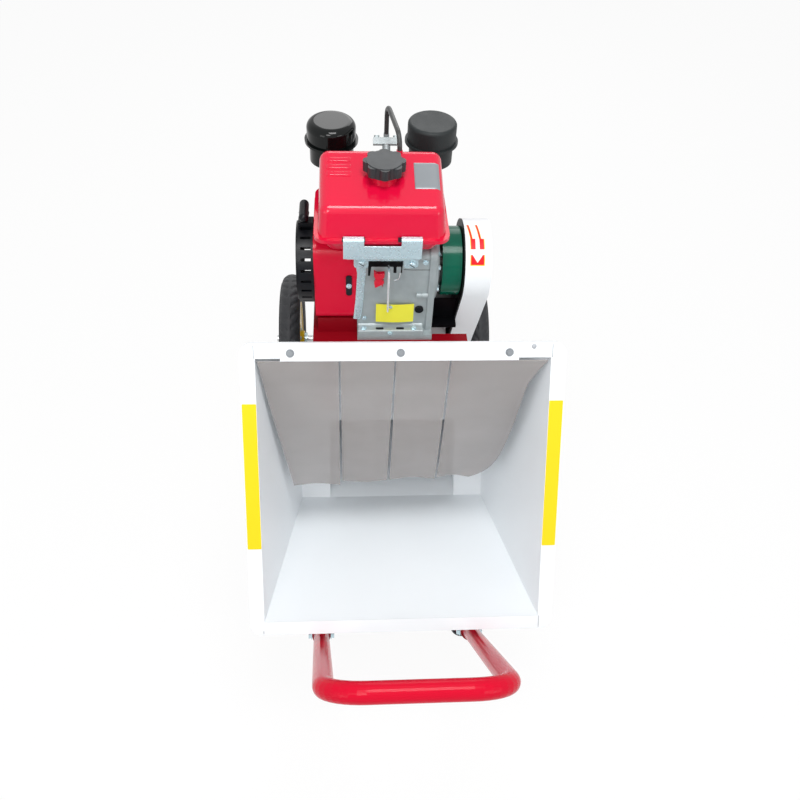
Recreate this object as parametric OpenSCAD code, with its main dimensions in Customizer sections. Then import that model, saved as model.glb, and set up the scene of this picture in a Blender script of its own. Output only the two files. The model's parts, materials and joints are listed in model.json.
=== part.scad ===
// Straw shredder: a tilted sheet hopper feeds a knife rotor, which an air-cooled engine drives by belts.
// +X is the belt side, +Y the back, +Z up; the origin is on the ground, centred under the machine.

/* [Hopper] */
// Width of the hopper mouth over its flanges
mouth_w = 560; // [500:1:620]
// Height of the hopper mouth along its tilted face
mouth_h = 545; // [500:1:580]
// Lean of the mouth face back from upright, in degrees
mouth_tilt = 33.5; // [30:0.5:36]
// Height of the mouth's top edge above the ground
mouth_top_z = 806; // [780:1:840]
// Width of the flange round the mouth
flange_w = 26; // [18:1:32]
// Radius of the mouth's outer corners
mouth_corner_r = 20; // [8:1:24]
// Depth of the folded edge behind the flange
mouth_return = 14; // [8:1:20]
// Thickness of the hopper sheet
sheet = 2; // [1.5:0.1:3]
// Depth of the funnel, square to its mouth
funnel_depth = 373; // [340:1:400]
// Width of the funnel floor at its end wall
floor_back_w = 406; // [380:1:430]
// Height of the funnel's end wall along its face
end_wall_h = 240; // [225:1:260]
// Distance from the mouth's top edge down the face to the level of the floor's back edge
end_drop = 419; // [405:1:430]
// Height of the throat between the funnel and the chamber
throat_h = 150; // [130:1:160]

/* [Curtain] */
// Length of the clamp bar that holds the curtain
curtain_w = 408; // [380:1:420]
// Height of the clamp bar
clamp_h = 28; // [22:1:34]
// Length that the curtain hangs below its hinge line
curtain_drop = 372; // [330:1:390]
// Width of the curtain at its foot, where the hopper narrows
curtain_foot_w = 414; // [380:2:416]
// Thickness of the curtain
curtain_t = 2; // [1.5:0.1:3]

/* [Rotor] */
// Height of the rotor axis
rotor_z = 320; // [312:1:330]
// Inner radius of the chopping chamber
chamber_r = 130; // [126:1:134]
// Inner width of the chopping chamber and its throat
chamber_w = 280; // [270:1:284]
// Thickness of the chamber's curved shell
shell_t = 3; // [2.5:0.1:5]
// Thickness of the chamber's side plates
side_t = 4; // [3:0.5:5]
// Diameter of the rotor shaft
shaft_d = 30; // [25:1:32]
// Outer radius of the rotor tube
rotor_tube_r = 52; // [48:1:58]
// Gap between the knife tips and the shell
tip_gap = 5; // [4:0.5:8]
// Number of knife rows round the rotor
knife_rows = 4; // [3:1:6]
// Number of knives in a row
knives_per_row = 5; // [4:1:6]

/* [Drive] */
// Radius of the rotor pulley
rotor_pulley_r = 65; // [60:1:70]
// Radius of the engine pulley
engine_pulley_r = 52; // [47:1:57]
// Distance from the belt guard's back plate to the pulleys' near face
pulley_gap = 18; // [14:1:22]
// Width of the pulleys
pulley_w = 30; // [26:1:32]
// Depth of the belt guard
guard_w = 60; // [58:1:66]
// Radius of the belt guard round the engine pulley
guard_top_r = 92; // [88:1:98]
// Radius of the belt guard round the rotor pulley
guard_low_r = 85; // [82:1:90]
// Radius of the green drum on the engine's output side
drum_r = 76; // [70:1:82]

/* [Engine] */
// Height of the engine deck's top face
deck_z = 498; // [492:1:504]
// Thickness of the engine deck
deck_t = 8; // [6:1:10]
// Height of the crankshaft above the deck
crank_up = 140; // [136:1:146]
// Diameter of the crankshaft
crank_d = 25; // [22:1:28]
// Offset of the engine's middle to the left of the machine's middle
engine_shift = 20; // [16:1:24]
// Lean of the cylinder back from upright, in degrees
cylinder_lean = 42; // [40:1:44]
// Outer radius of the recoil starter
recoil_r = 92; // [88:1:96]
// Radius of the flywheel
flywheel_r = 84; // [78:1:88]
// Number of fins on the cylinder
fins = 7; // [5:1:9]

/* [Tank and canisters] */
// Width of the fuel tank over its seam flange
tank_w = 275; // [255:1:285]
// Depth of the fuel tank over its seam flange
tank_depth = 194; // [184:1:196]
// Wall of the fuel tank
tank_wall = 2; // [1.5:0.1:3]
// Outer radius of the fuel cap's lobes
cap_r = 43; // [36:1:46]
// Height of the fuel cap
cap_h = 25; // [20:1:30]
// Radius of the air cleaner and muffler cans
can_r = 53; // [48:1:55]
// Height of the cans
can_h = 90; // [80:1:100]

/* [Running gear] */
// Outer radius of the tyres
tyre_r = 180; // [170:1:184]
// Width of the tyres
tyre_w = 56; // [50:1:60]
// Distance between the tyres' middles
track = 504; // [500:1:540]
// Diameter of the axle
axle_d = 20; // [18:1:24]
// Width and height of the chassis rails' section
rail = 36; // [32:1:38]
// Height of the chassis rails' underside
rail_z = 92; // [84:1:96]

/* [Handle] */
// Diameter of the handle tube
handle_d = 32; // [28:1:36]
// Outer width of the handle at its bar
handle_w = 300; // [280:1:320]
// Height of the handle bar's axis
handle_z = 655; // [620:1:690]
// Bend radius of the handle's corners, to the tube's axis
handle_bend = 62; // [50:1:70]

/* [Hidden] */
$fn = 64;
seat = 0.3;
running_gap = 0.05;
cut = 1;

// Places along Y, measured back from the mouth's top edge
handle_reach = 541;
rotor_back = 590;
crank_back = 445;
axle_back = 680;
tank_back = 322;
can_back = 600;
deck_back = 328;
deck_depth = 417;
mouth_y = ((handle_reach + handle_d / 2) - (axle_back + tyre_r)) / 2;
rotor_y = mouth_y + rotor_back;
crank_y = mouth_y + crank_back;
axle_y = mouth_y + axle_back;
tank_y = mouth_y + tank_back;
can_y = mouth_y + can_back;
deck_y = mouth_y + deck_back;
axle_z = tyre_r;
crank_z = deck_z + crank_up;

// Frames and small helpers

// Draws a side outline, given as (y, z), and gives it a width along X from x0
module side_outline(x0, w) {
    translate([x0, 0, 0]) rotate([90, 0, 90]) linear_extrude(w) children();
}

// A round bar along X at (y, z)
module bar_x(r, x0, x1, y = 0, z = 0) {
    translate([x0, y, z]) rotate([0, 90, 0]) cylinder(r = r, h = x1 - x0);
}

// A round bar along Y
module bar_y(r, y0, y1, x = 0, z = 0) {
    translate([x, y1, z]) rotate([90, 0, 0]) cylinder(r = r, h = y1 - y0);
}

// A block between two corners
module block(a, b) {
    translate(a) cube(b - a);
}

// A hexagon bolt head with its washer, standing up from z = 0
module bolt_head(d) {
    cylinder(r = d * 1.1, h = d * 0.15);
    translate([0, 0, d * 0.15]) cylinder(r = d * 0.95, h = d * 0.6, $fn = 6);
}

// Outline round two circles joined by their common tangents
module belt_outline(a, ra, b, rb) {
    hull() {
        translate(a) circle(ra, $fn = 90);
        translate(b) circle(rb, $fn = 90);
    }
}

// The mouth's own frame: z runs up the face from the top edge, y goes into the funnel
module in_mouth() {
    translate([0, mouth_y, mouth_top_z]) rotate([-mouth_tilt, 0, 0]) children();
}

// Rounded rectangle from corner a to corner b
module rounded_rect(a, b, r) {
    translate([a[0] + r, a[1]]) square([b[0] - a[0] - 2 * r, b[1] - a[1]]);
    translate([a[0], a[1] + r]) square([b[0] - a[0], b[1] - a[1] - 2 * r]);
    for (x = [a[0] + r, b[0] - r], y = [a[1] + r, b[1] - r]) translate([x, y]) circle(r);
}

// A square tube between two corners, open along the axis numbered along
module square_tube(a, b, along, wall = 2.5) {
    skin = [for (i = [0:2]) i == along ? -cut : wall];
    difference() {
        block(a, b);
        block(a + skin, b - skin);
    }
}

// Hopper

// A point of the hopper's local frame as a side view point (y, z)
function mouth_point(depth, z) = [
    mouth_y + depth * cos(mouth_tilt) + z * sin(mouth_tilt),
    mouth_top_z - depth * sin(mouth_tilt) + z * cos(mouth_tilt)
];
throat_floor = mouth_point(funnel_depth, -end_drop)[1];
throat_top = throat_floor + throat_h;
floor_front = mouth_point(0, -mouth_h + flange_w - sheet);
floor_back = mouth_point(funnel_depth, -end_drop - sheet);
function floor_z(y) = floor_front[1]
    + (floor_back[1] - floor_front[1]) * (y - floor_front[0]) / (floor_back[0] - floor_front[0]);
inner_w = mouth_w - 2 * flange_w;
inner_h = mouth_h - 2 * flange_w;

// The four corners of the funnel's section at a depth, grown outward by grow
function funnel_ring(depth, grow) =
    let (
        share = depth / funnel_depth,
        half = (inner_w + (floor_back_w - inner_w) * share) / 2 + grow,
        low = -mouth_h + flange_w + (mouth_h - flange_w - end_drop) * share - grow,
        high = -flange_w + (end_wall_h - end_drop + flange_w) * share + grow
    )
    [[-half, depth, low], [half, depth, low], [half, depth, high], [-half, depth, high]];

module funnel_block(d0, d1, grow) {
    polyhedron(
        points = concat(funnel_ring(d0, grow), funnel_ring(d1, grow)),
        faces = [[3, 2, 1, 0], [4, 5, 6, 7], [0, 1, 5, 4], [1, 2, 6, 5], [2, 3, 7, 6], [3, 0, 4, 7]]
    );
}

module hopper_funnel() {
    color("white") difference() {
        in_mouth() difference() {
            funnel_block(0, funnel_depth + sheet, sheet);
            funnel_block(-cut, funnel_depth, 0);
        }
        intersection() {
            block([-chamber_w / 2, mouth_y, throat_floor], [chamber_w / 2, rotor_y, throat_top]);
            in_mouth() block([-mouth_w, funnel_depth, -mouth_h], [mouth_w, funnel_depth + sheet + cut, 0]);
        }
    }
}

module mouth_frame() {
    half = mouth_w / 2;
    color("white") in_mouth() {
        rotate([90, 0, 0]) linear_extrude(sheet) difference() {
            rounded_rect([-half, -mouth_h], [half, 0], mouth_corner_r);
            translate([-inner_w / 2, -mouth_h + flange_w]) square([inner_w, inner_h]);
        }
        translate([0, mouth_return, 0]) rotate([90, 0, 0]) linear_extrude(mouth_return) difference() {
            rounded_rect([-half, -mouth_h], [half, 0], mouth_corner_r);
            rounded_rect([-half + sheet, -mouth_h + sheet], [half - sheet, -sheet],
                mouth_corner_r - sheet);
        }
    }
}

// Front edge of the duct, where it meets the funnel's slanted end wall
function duct_front(z) = mouth_y + (funnel_depth + sheet) / cos(mouth_tilt)
    + tan(mouth_tilt) * (z - mouth_top_z);

module duct_side_view(low, high, stop_r) {
    difference() {
        polygon([[duct_front(low), low], [rotor_y, low], [rotor_y, high], [duct_front(high), high]]);
        translate([rotor_y, rotor_z]) circle(stop_r);
    }
}

module throat_duct() {
    color("white") {
        for (z = [throat_floor - sheet, throat_top]) side_outline(-chamber_w / 2, chamber_w)
            duct_side_view(z, z + sheet, chamber_r + shell_t);
        for (x = [-chamber_w / 2 - sheet, chamber_w / 2]) side_outline(x, sheet)
            duct_side_view(throat_floor - sheet, throat_top + sheet, plate_r + seat);
    }
}

// Curtain

clamp_t = 4;
clamp_inset = 2;
curtain_top_w = mouth_w - 2 * flange_w - 6;
slit_x = [-111, -16, 79];
strip_gap = 3;
screw_r = 3;
clamp_x = -7;
screw_inset = 17;
screw_z = -clamp_inset - clamp_h / 2;

module at_screws() {
    for (i = [-1:1]) translate([clamp_x + i * (curtain_w / 2 - screw_inset), -sheet - clamp_t, screw_z]) children();
}

// The bar lies on the flange, and the strips hang from its lower edge
module curtain_bar() {
    color("white") in_mouth() difference() {
        block([clamp_x - curtain_w / 2, -sheet - clamp_t, -clamp_h - clamp_inset],
            [clamp_x + curtain_w / 2, -sheet, -clamp_inset]);
        at_screws() bar_y(screw_r + running_gap, -cut, clamp_t + cut);
    }
}

module curtain_screws() {
    color("silver") in_mouth() at_screws() {
        bar_y(screw_r, -1, clamp_t);
        bar_y(7, -1, 0);
        translate([0, -1, 0]) rotate([90, 0, 0]) cylinder(r = 5, h = 3.2, $fn = 6);
    }
}

// The line, as (y, z), on which the strips swing, just under the bar
hang_drop = clamp_h + clamp_inset + seat + curtain_t / 2;
strip_top = mouth_point(-sheet - clamp_t / 2, -hang_drop);

// The outer strips are cut back along the hopper's sides; the three slits are upright
module curtain_strip(n) {
    left = n == 1 ? [-curtain_top_w / 2, -curtain_foot_w / 2] : (slit_x[n - 2] + strip_gap / 2) * [1, 1];
    right = n == 4 ? [curtain_top_w / 2, curtain_foot_w / 2] : (slit_x[n - 1] - strip_gap / 2) * [1, 1];
    color([0.7, 0.68, 0.68, 0.6]) translate([0, strip_top[0], strip_top[1]]) {
        bar_x(curtain_t / 2, left[0], right[0]);
        translate([0, curtain_t / 2, 0]) rotate([90, 0, 0]) linear_extrude(curtain_t)
            polygon([[left[0], 0], [left[1], -curtain_drop], [right[1], -curtain_drop], [right[0], 0]]);
    }
}

// Chopping chamber

side_x = chamber_w / 2;
plate_r = chamber_r + 14;
inlet_low = asin((rotor_z - throat_floor) / chamber_r);
inlet_high = asin((throat_top - rotor_z) / chamber_r);
outlet_from = -50;
outlet_to = 8;
chute_back = axle_y + 146;

// Sector of a disc between two angles, for cutting the chamber's shell
module sector(r, from, to) {
    n = ceil((to - from) / 60);
    polygon(concat([[0, 0]], [for (i = [0:n]) let (a = from + (to - from) * i / n)
        r / cos((to - from) / n / 2) * [cos(a), sin(a)]]));
}

module shell_arc(from, to) {
    side_outline(-side_x, chamber_w) translate([rotor_y, rotor_z]) intersection() {
        difference() {
            circle(chamber_r + shell_t);
            circle(chamber_r);
        }
        sector(chamber_r + shell_t + 2, from, to);
    }
}

module chamber_cover() {
    color("white") shell_arc(outlet_to, 180 - inlet_high);
}

module chamber_screen() {
    color("dimgray") difference() {
        shell_arc(180 + inlet_low, 360 + outlet_from);
        for (i = [-3:3], a = [-30:14:26])
            translate([i * chamber_w / 8, rotor_y, rotor_z]) rotate([a, 0, 0])
                translate([0, 0, -chamber_r - 8]) cylinder(r = 7, h = 16);
    }
}

module side_plate(side) {
    foot_w = 32;
    color("white") mirror([side < 0 ? 1 : 0, 0, 0]) {
        side_outline(side_x, side_t) difference() {
            union() {
                translate([rotor_y, rotor_z]) circle(plate_r);
                translate([rotor_y - 110, rail_top]) square([170, rotor_z - rail_top]);
            }
            translate([rotor_y, rotor_z]) circle(shaft_d / 2 + 5);
        }
        block([side_x, rotor_y - 110, rail_top], [side_x + foot_w, rotor_y + 60, rail_top + 5]);
    }
}

bearing_t = 20;
bearing_x = side_x + side_t;
bearing_hole = 32;

module bearing(side) {
    color("gray") mirror([side < 0 ? 1 : 0, 0, 0]) difference() {
        union() {
            translate([0, rotor_y, rotor_z]) side_outline(bearing_x, 10)
                rounded_rect([-44, -44], [44, 44], 12);
            bar_x(30, bearing_x, bearing_x + bearing_t, rotor_y, rotor_z);
        }
        bar_x(shaft_d / 2 + running_gap, bearing_x - cut, bearing_x + bearing_t + cut, rotor_y, rotor_z);
    }
}

module bearing_bolts() {
    color("silver") for (side = [0, 1], y = [-1, 1], z = [-1, 1]) mirror([side, 0, 0])
        translate([bearing_x + 10, rotor_y + y * bearing_hole, rotor_z + z * bearing_hole])
            rotate([0, 90, 0]) bolt_head(6);
}

// Rotor

guard_x = side_x + side_t + 8;
guard_t = 3;
pulley_x = guard_x + pulley_gap;
shaft_end = pulley_x + pulley_w + 4;
disc_r = 96;
tip_r = chamber_r - tip_gap;

module rotor_shaft() {
    color("silver") bar_x(shaft_d / 2, -bearing_x - bearing_t - 6, shaft_end, rotor_y, rotor_z);
}

// A tube between two end discs, with a seat for each row of knives
module rotor_drum() {
    half = side_x - 4;
    color("dimgray") difference() {
        union() {
            bar_x(rotor_tube_r, -half, half, rotor_y, rotor_z);
            for (x = [-half, half - 8]) bar_x(disc_r, x, x + 8, rotor_y, rotor_z);
            for (i = [0:knife_rows - 1]) translate([0, rotor_y, rotor_z]) rotate([i * 360 / knife_rows, 0, 0])
                block([-half + 8, -14, 0], [half - 8, 0, disc_r - 12]);
        }
        bar_x(shaft_d / 2 + running_gap, -half - cut, half + cut, rotor_y, rotor_z);
    }
}

module rotor_knives() {
    bevel = 8;
    color("silver") for (row = [0:knife_rows - 1], n = [0:knives_per_row - 1])
        translate([0, rotor_y, rotor_z]) rotate([row * 360 / knife_rows, 0, 0])
            side_outline(-side_x + 12 + n * (chamber_w - 24) / knives_per_row + 2,
                (chamber_w - 24) / knives_per_row - 4)
                polygon([[0, disc_r - 44], [8, disc_r - 44], [8, tip_r - bevel], [0, tip_r - 1]]);
}

module bed_knife() {
    edge = rotor_y - sqrt(chamber_r * chamber_r - pow(rotor_z - throat_floor, 2));
    color("silver") block([-side_x + 1, edge - 46, throat_floor], [side_x - 1, edge - 1, throat_floor + 8]);
}

module discharge_chute() {
    half = side_x;
    reach = (chamber_r + shell_t);
    low = rotor_z + reach * sin(outlet_from);
    high = rotor_z + reach * sin(outlet_to);
    exit_low = low - 14;
    exit_high = high - 46;
    color("white") side_outline(-half, 2 * half) difference() {
        polygon([[rotor_y, low], [chute_back, exit_low], [chute_back, exit_low + sheet], [rotor_y, low + sheet]]);
        translate([rotor_y, rotor_z]) circle(reach);
    }
    color("white") side_outline(-half, 2 * half) difference() {
        polygon([[rotor_y, high], [chute_back, exit_high], [chute_back, exit_high + sheet], [rotor_y, high + sheet]]);
        translate([rotor_y, rotor_z]) circle(reach);
    }
    color("white") for (x = [-half - sheet, half]) side_outline(x, sheet) difference() {
        polygon([[rotor_y, low], [chute_back, exit_low], [chute_back, exit_high + sheet], [rotor_y, high + sheet]]);
        translate([rotor_y, rotor_z]) circle(plate_r + seat);
    }
}

// Belt drive

belt_w = 8.6;
belt_t = 8.5;
groove_depth = 10.3;
groove_top = 13;
groove_low = 9.4;
groove_x = [pulley_w / 4, 3 * pulley_w / 4];

// A two-groove pulley with its near face at x = 0
module pulley(r, bore) {
    rotate([0, 90, 0]) rotate_extrude() difference() {
        translate([bore / 2, 0]) square([r - bore / 2, pulley_w]);
        for (x = groove_x) translate([r, x]) polygon([
            [-groove_depth, -groove_low / 2], [cut, -groove_top / 2], [cut, groove_top / 2],
            [-groove_depth, groove_low / 2]
        ]);
    }
}

module rotor_pulley() {
    color("dimgray") difference() {
        translate([pulley_x, rotor_y, rotor_z]) pulley(rotor_pulley_r, shaft_d + 2 * running_gap);
        for (a = [0:60:300]) translate([pulley_x - cut, rotor_y, rotor_z]) rotate([a, 0, 0])
            translate([0, 35, 0]) rotate([0, 90, 0]) cylinder(r = 9, h = pulley_w + 2 * cut);
    }
}

module engine_pulley() {
    color("dimgray") translate([pulley_x, crank_y, crank_z])
        pulley(engine_pulley_r, crank_d + 2 * running_gap);
}

module drive_belts() {
    a = [crank_y, crank_z];
    b = [rotor_y, rotor_z];
    color("black") for (x = groove_x) side_outline(pulley_x + x - belt_w / 2, belt_w) difference() {
        belt_outline(a, engine_pulley_r - 1.5, b, rotor_pulley_r - 1.5);
        belt_outline(a, engine_pulley_r - 1.5 - belt_t, b, rotor_pulley_r - 1.5 - belt_t);
    }
}

module guard_outline(inset) {
    belt_outline([crank_y, crank_z], guard_top_r - inset, [rotor_y, rotor_z], guard_low_r - inset);
}

// The back plate, with a flange and an apron that carry it beside the engine deck
module guard_back_plate() {
    apron_y = crank_y - 30;
    color("black") {
        side_outline(guard_x, guard_t) difference() {
            guard_outline(0);
            translate([crank_y, crank_z]) circle(crank_d / 2 + 10);
            translate([rotor_y, rotor_z]) circle(60);
        }
        block([deck_right, crank_y - 60, deck_z - deck_t], [guard_x + 1, crank_y + 100, deck_z]);
        block([deck_right + 4, apron_y, deck_z - 1], [guard_x + 1, apron_y + guard_t, deck_z + 54]);
    }
}

module belt_guard() {
    color("white") difference() {
        side_outline(guard_x + guard_t, guard_w - guard_t) guard_outline(0);
        side_outline(guard_x, guard_w - sheet) guard_outline(sheet);
    }
}

// Chassis

rail_x = 143 + rail / 2;
rail_top = rail_z + rail;
rail_front = mouth_y - 152;
rail_back = axle_y + 96;
foot_y = mouth_y - 120;
foot_t = 8;
post = 30;
post_y = [deck_y + 20, deck_y + deck_depth - 20];
leg_base = [rail_x, rail_front - 22, rail_z + 10];
bar_point = [handle_w / 2 - handle_d / 2, mouth_y - handle_reach, handle_z];
leg_rise = atan2(bar_point[2] - leg_base[2], leg_base[1] - bar_point[1]);
leg_run = norm([bar_point[1] - leg_base[1], bar_point[2] - leg_base[2]]);
leg_in = atan2(leg_base[0] - bar_point[0], leg_run);
leg_l = norm([leg_base[0] - bar_point[0], leg_run]);
leg_turn = 90 - leg_in;
bend_cut = handle_bend * tan(leg_turn / 2);
bend_x = bar_point[0] + bend_cut * sin(leg_in) - handle_bend * cos(leg_in);
bend_y = leg_run - handle_bend;
socket_l = 56;
socket_t = 3.5;
pin_up = 38;

// The handle's own plane: x across, y up the slope from the legs' feet
module in_handle() {
    translate([0, leg_base[1], leg_base[2]]) rotate([180 - leg_rise, 0, 0]) children();
}

// The line of one leg, as a z axis from its foot
module on_leg(side) {
    in_handle() mirror([side < 0 ? 1 : 0, 0, 0]) translate([leg_base[0], 0, 0])
        rotate([0, 0, leg_in]) rotate([-90, 0, 0]) children();
}

module post_tube(x, y, z0, z1) {
    square_tube([x - post / 2, y - post / 2, z0], [x + post / 2, y + post / 2, z1], 2);
}

module chassis_side(side) {
    x = side * rail_x;
    square_tube([x - rail / 2, rail_front, rail_z], [x + rail / 2, rail_back, rail_top], 1);
    post_tube(x, foot_y, foot_t, rail_z);
    side_outline(x - post / 2, post) polygon([
        [foot_y - post / 2, rail_top], [foot_y + post / 2, rail_top],
        [foot_y + post / 2, floor_z(foot_y + post / 2)], [foot_y - post / 2, floor_z(foot_y - post / 2)]
    ]);
    for (y = post_y) post_tube(x, y, rail_top, deck_z - deck_t - post);
    side_outline(x - 6, 12) difference() {
        polygon([[axle_y - 30, rail_top], [axle_y + 30, rail_top], [axle_y + 16, axle_z + 18],
            [axle_y - 16, axle_z + 18]]);
        translate([axle_y, axle_z]) circle(axle_d / 2 + running_gap);
    }
    side_outline(x - 4, 8) polygon([[rail_front + 1, rail_z], [rail_front + 1, rail_top + 6],
        [leg_base[1] - 30, rail_top + 26], [leg_base[1] - 4, rail_z]]);
}

module chassis_frame() {
    color("red") difference() {
        union() {
            for (side = [-1, 1]) {
                chassis_side(side);
                on_leg(side) cylinder(r = handle_d / 2 + seat + socket_t, h = socket_l);
            }
            for (y = [foot_y, rail_back - post / 2])
                square_tube([-rail_x + rail / 2, y - post / 2, rail_z], [rail_x - rail / 2, y + post / 2, rail_top], 0);
            square_tube([-rail_x + post / 2, post_y[0] - post / 2, throat_floor - sheet - post],
                [rail_x - post / 2, post_y[0] + post / 2, throat_floor - sheet], 0);
            for (y = post_y) square_tube([-rail_x - post / 2, y - post / 2, deck_z - deck_t - post],
                [rail_x + post / 2, y + post / 2, deck_z - deck_t], 0);
        }
        for (side = [-1, 1]) on_leg(side) {
            translate([0, 0, -20]) cylinder(r = handle_d / 2 + seat, h = socket_l + 40);
            translate([0, 0, pin_up]) rotate([0, 90, 0]) cylinder(r = 5.3, h = 80, center = true);
        }
    }
}

module foot_pads() {
    color("black") for (side = [-1, 1]) translate([side * rail_x, foot_y, 0]) cylinder(r = 24, h = foot_t);
}

handle_wall = 2.5;
bend_steps = 9;

// Stations along half of the handle, as x, y and the angle of the outward normal
half_stations = concat([[leg_base[0], 0, leg_in]], [for (k = [0:bend_steps])
    let (t = leg_in + leg_turn * k / bend_steps)
    [bend_x + handle_bend * cos(t), bend_y + handle_bend * sin(t), t]]);
half_count = len(half_stations);
stations = concat(half_stations,
    [for (k = [half_count - 1:-1:0]) let (p = half_stations[k]) [-p[0], p[1], 180 - p[2]]]);

// One bent tube with its wall, swept along stations that are given as x, y and the outward angle
module swept_tube(path, r, wall, sides) {
    rings = len(path);
    inner = rings * sides;
    function ring(p, r) = [for (n = [0:sides - 1]) let (a = 360 * n / sides)
        [p[0] + r * cos(a) * cos(p[2]), p[1] + r * cos(a) * sin(p[2]), r * sin(a)]];
    function next(n) = (n + 1) % sides;
    outside = [for (p = path) each ring(p, r)];
    inside = [for (p = path) each ring(p, r - wall)];
    skin = [for (i = [0:rings - 2], n = [0:sides - 1])
        [i * sides + n, (i + 1) * sides + n, (i + 1) * sides + next(n), i * sides + next(n)]];
    lining = [for (q = skin) [inner + q[3], inner + q[2], inner + q[1], inner + q[0]]];
    rims = [for (n = [0:sides - 1]) each [
        [n, next(n), inner + next(n), inner + n],
        let (e = inner - sides) [e + next(n), e + n, inner + e + n, inner + e + next(n)]
    ]];
    polyhedron(points = concat(outside, inside), faces = concat(skin, lining, rims));
}

module tow_handle() {
    color("crimson") difference() {
        in_handle() swept_tube(stations, handle_d / 2, handle_wall, 28);
        for (side = [-1, 1]) on_leg(side) translate([0, 0, pin_up]) rotate([0, 90, 0])
            cylinder(r = 5.3, h = 80, center = true);
    }
}

spacer_r = 7;
spacer_turns = [38, 142, 218, 322];

// Cross bolts of the handle's sockets, stand-offs of the belt guard, and the engine's foot bolts
module frame_bolts() {
    socket_r = handle_d / 2 + seat + socket_t;
    color("silver") for (side = [-1, 1]) on_leg(side) translate([0, 0, pin_up]) {
        rotate([0, 90, 0]) cylinder(r = 5, h = 2 * socket_r, center = true);
        for (end = [-1, 1]) rotate([0, 90 * end, 0]) translate([0, 0, socket_r]) bolt_head(10);
    }
    color("silver") for (a = spacer_turns) translate([0, rotor_y, rotor_z]) rotate([a, 0, 0])
        bar_x(spacer_r, bearing_x, guard_x, guard_low_r - 14);
    color("silver") for (x = [case_left + 16, case_right - 30], y = [crank_y - case_front - foot_out / 2, crank_y + 143])
        translate([x, y, deck_z + foot_h]) bolt_head(8);
}

// Wheels

hub_w = tyre_w + 8;
hub_r = 22;
rim_r = tyre_r - tyre_w + 4;
wheel_x = track / 2;
collar_w = 7;
collar_gap = 0.5;
axle_end = wheel_x + hub_w / 2 + collar_gap + collar_w + 5;

module axle() {
    color("silver") bar_x(axle_d / 2, -axle_end, axle_end, axle_y, axle_z);
}

module axle_collars() {
    color("silver") for (side = [0, 1], x = [wheel_x - hub_w / 2 - collar_gap - collar_w, wheel_x + hub_w / 2 + collar_gap])
        mirror([side, 0, 0]) difference() {
            bar_x(17, x, x + collar_w, axle_y, axle_z);
            bar_x(axle_d / 2 + running_gap, x - cut, x + collar_w + cut, axle_y, axle_z);
        }
}

module at_wheel(side) {
    translate([side * wheel_x, axle_y, axle_z]) mirror([side < 0 ? 1 : 0, 0, 0]) rotate([0, 90, 0]) children();
}

module tyre(side) {
    half = tyre_w / 2;
    color([0.08, 0.08, 0.08]) at_wheel(side) rotate_extrude() difference() {
        translate([tyre_r - half, 0]) circle(half);
        translate([0, -half]) square([rim_r + seat, tyre_w]);
    }
}

// Pressed disc on the inner side, a barrel that carries the tyre, and a hub tube
module rim(side) {
    half = tyre_w / 2;
    color("gold") at_wheel(side) rotate_extrude() {
        translate([axle_d / 2 + running_gap, -hub_w / 2]) square([hub_r - axle_d / 2, hub_w]);
        translate([rim_r - 4, -half + 8]) square([4, tyre_w - 16]);
        translate([hub_r - 1, -half + 8]) square([rim_r - hub_r, 3]);
        translate([hub_r - 1, half - 20]) square([rim_r - hub_r, 3]);
    }
}

// Engine

engine_x = -engine_shift;
case_left = engine_x - 56;
case_right = engine_x + 112;
cover_right = case_right + 11;
drum_left = cover_right + 5;
drum_w = 42;
case_front = 88;
deck_left = -176;
deck_right = 92;
shroud_left = -168;
shroud_right = case_left;
shroud_t = 2.5;
shroud_top = 98;
plinth_h = 42;
shroud_round = 45;

module in_cylinder() {
    translate([0, crank_y, crank_z]) rotate([-cylinder_lean, 0, 0]) children();
}

module engine_deck() {
    color("red") {
        block([deck_left, deck_y, deck_z - deck_t], [deck_right, deck_y + deck_depth, deck_z]);
        block([shroud_left + 4, crank_y - case_front + 6, deck_z], [case_left - seat, crank_y + 104, deck_z + plinth_h]);
    }
}

foot_h = 14;
foot_out = 22;
rim_w = 14;
rim_up = 4;
stud_r = 4;
lever_x = -30;
lever_z = crank_z + 4;

// The crankcase seen from its side: flat to the front, with a rounded shoulder over the crankshaft
module case_outline(out) {
    front = case_front + out;
    translate([crank_y, crank_z]) circle(front);
    translate([crank_y - front, crank_z - 60]) rounded_rect([0, 0], [front + 20, 144 + out], 22);
    translate([crank_y - front, deck_z + foot_h - 1]) square([front + 130, crank_up - foot_h + 1]);
}

module crankcase() {
    color("lightgray") difference() {
        union() {
            side_outline(case_left, case_right - case_left) case_outline(0);
            side_outline(case_left, case_right - case_left)
                translate([crank_y - case_front - foot_out, deck_z]) square([case_front + foot_out + 154, foot_h]);
            side_outline(case_right - rim_w, rim_w) case_outline(rim_up);
            in_cylinder() block([case_left + 12, -46, 0], [case_right - 70, 60, fin_low]);
            bar_y(stud_r, crank_y - case_front - 9, crank_y - case_front + 10, lever_x, lever_z);
            bar_y(stud_r + 2.5, crank_y - case_front - 9, crank_y - case_front - 6, lever_x, lever_z);
        }
        bar_x(crank_d / 2 + running_gap, case_left - cut, case_right + cut, crank_y, crank_z);
    }
}

module crankcase_cover() {
    color("silver") difference() {
        union() {
            bar_x(case_front - 4, case_right, cover_right - 5, crank_y, crank_z);
            bar_x(case_front - 26, case_right, cover_right, crank_y, crank_z);
        }
        bar_x(crank_d / 2 + running_gap, case_right - cut, cover_right + cut, crank_y, crank_z);
    }
}

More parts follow.
